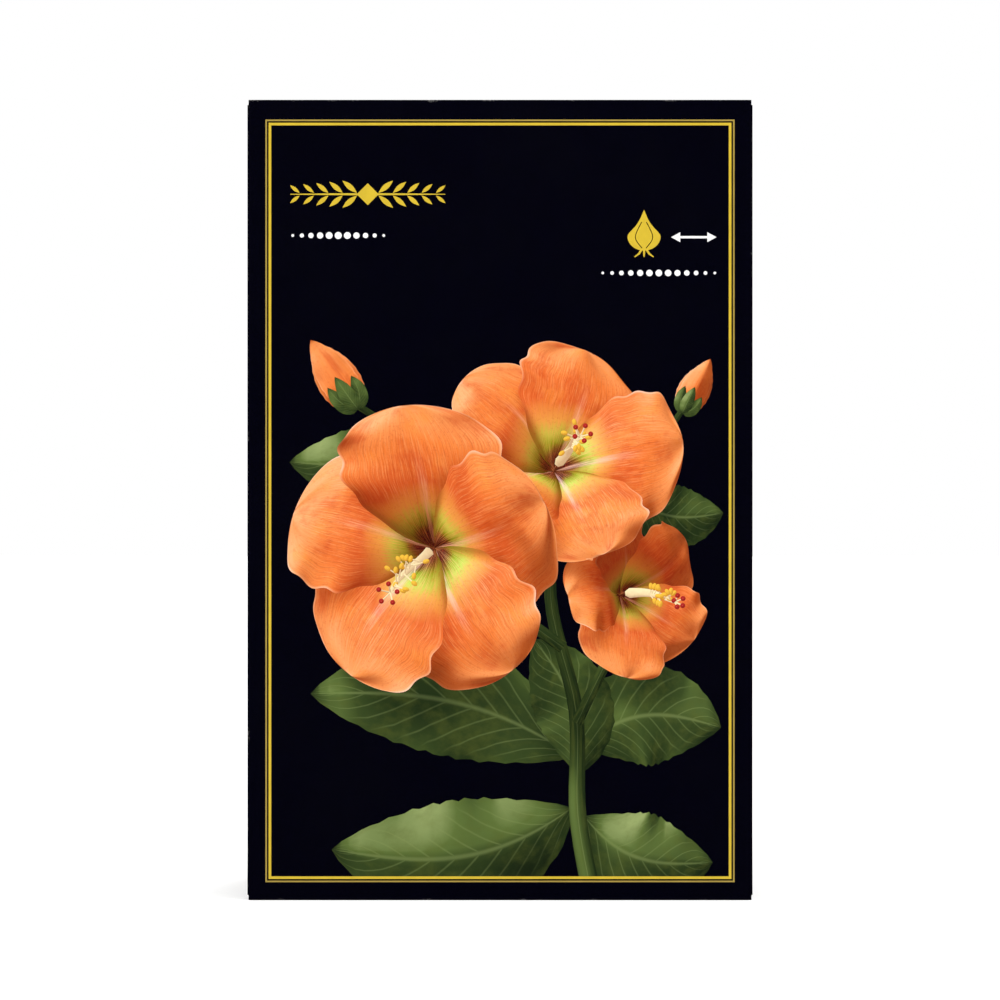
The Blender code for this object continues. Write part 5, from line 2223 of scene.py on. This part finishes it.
@dataclass
class Studio:
    """Floor, world, lights and the camera."""

    floor_half: float = 8.0
    camera_gap: float = 1.319
    lens: float = 200.0
    zenith: float = 0.5
    horizon: float = 0.012

    def world(self) -> None:
        """White to the camera, and a ceiling that is bright above and dark at the horizon to all else."""
        world = bpy.data.worlds.new("studio")
        bpy.context.scene.world = world
        world.use_nodes = True
        graph = Graph(world.node_tree)
        level = graph.out("TexCoord", {}, "Generated").parts()[2].span(0.1, 0.95, self.horizon, self.zenith)
        seen = graph.out("LightPath", {}, "Is Camera Ray")
        tint = graph.mix(seen, graph.join(level, level, level), (1.0, 1.0, 1.0))
        graph.feed(world.node_tree.nodes["Background"], {"Color": tint})

    def floor(self) -> Piece:
        """A wide pale floor, cut fine enough to stay smooth."""
        rows = 41
        line = np.linspace(-self.floor_half, self.floor_half, rows)
        y, x = np.meshgrid(line, line, indexing="ij")
        points = np.stack((x, y, 0.0 * x), axis=2)
        sheet = Sheet3D(points, points[:, :, :2], np.ones((rows, rows, 3)))
        floor = sheets_piece("studio_floor", [sheet], [PaleFloor("studio floor")])
        floor.location.z = -0.05 * MM
        floor.visible_glossy = False
        return floor

    def camera(self, front: float, middle: float) -> Piece:
        """Level camera straight before the front panel."""
        data = bpy.data.cameras.new("camera")
        data.lens = self.lens
        camera = bpy.data.objects.new("camera", data)
        camera.location = (0.0, front - self.camera_gap, middle)
        camera.rotation_euler = (radians(90.0), 0.0, 0.0)
        bpy.context.scene.collection.objects.link(camera)
        bpy.context.scene.camera = camera
        return camera

    def build(self, low: Sequence[float], high: Sequence[float]) -> None:
        """Set up everything round the carton."""
        bpy.context.scene.view_settings.view_transform = "Standard"
        self.world()
        self.floor()
        self.camera(low[1], (low[2] + high[2]) / 2.0)
        for lamp in (
            Lamp("key light", (-0.62, -0.6, 0.62), 1.3),
            Lamp("fill light", (0.68, -0.55, 0.55), 0.85),
            Lamp("back light", (0.15, 0.8, 0.6), 1.2),
            Lamp("top light", (0.03, -0.16, 1.0), 1.5, 40.0),
        ):
            lamp.build()


def main() -> None:
    """Build every piece in order and report it."""
    logging.basicConfig(level=logging.INFO, format="%(message)s")
    log = logging.getLogger("carton")
    Studio().build(*CAD_BOX)
    carton = Carton()
    art = Artwork(carton)
    low, high = carton.side_low, carton.side_high
    left, right = (Sign.SUN, Sign.DROP, Sign.POT), (Sign.POT, Sign.DROP, Sign.FLOWER)
    panels = [
        carton.wall("glue_tab", 0, carton.tab_low, carton.height - carton.tab_low, [], []),
        carton.wall("left_panel", 1, low, high, carton.vents(), art.side(left)),
        carton.wall("front_panel", 2, 0.0, carton.height, [], art.front()),
        carton.wall("right_panel", 3, low, high, carton.vents(), art.side(right)),
        carton.wall("back_panel", 4, carton.fold_low, carton.fold_high, [], art.back()),
        carton.cover("lid_panel", True, art.lid()),
        carton.cover("bottom_panel", False, art.lid()),
    ]
    for side, word in ((-1.0, "left"), (1.0, "right")):
        panels.append(carton.dust_flap(f"dust_flap_{word}_board", side, True, art.flap(side)))
        panels.append(carton.dust_flap(f"bottom_dust_flap_{word}_board", side, False, art.flap(side)))
    pieces = [panel.build() for panel in panels]
    w, d = carton.half_width - carton.board / 2.0, carton.half_depth - carton.board / 2.0
    lid_half = carton.half_width - carton.lid_play
    middle = (carton.dust_front_inset - carton.dust_back_inset) / 2.0
    flap_half = carton.half_depth - (carton.dust_front_inset + carton.dust_back_inset) / 2.0
    pieces += [
        carton.knuckle("lid_fold_line", (0.0, d, carton.fold_high), 0, lid_half, (0.0, 90.0)),
        carton.knuckle("bottom_fold_line", (0.0, d, carton.fold_low), 0, lid_half, (270.0, 360.0)),
        carton.knuckle("left_fold_line", (-w, middle, high), 1, flap_half, (90.0, 180.0)),
        carton.knuckle("right_fold_line", (w, middle, high), 1, flap_half, (0.0, 90.0)),
        carton.knuckle("bottom_left_fold_line", (-w, middle, low), 1, flap_half, (180.0, 270.0)),
        carton.knuckle("bottom_right_fold_line", (w, middle, low), 1, flap_half, (270.0, 360.0)),
    ]
    bulb = Bulb()
    pieces += [bulb.body(), bulb.skins(), bulb.crown(), bulb.root_tuft()]
    nest = Nest()
    pieces.append(nest.bed(bulb))
    pieces.append(nest.curls("shavings_lower", nest.layers[0], 8, 0.006, bulb))
    pieces.append(nest.curls("shavings_upper", nest.layers[1], 9, 0.0, bulb))
    for piece in pieces:
        log.info("%s: %d faces", piece.name, len(piece.data.polygons))


if __name__ == "__main__":
    main()
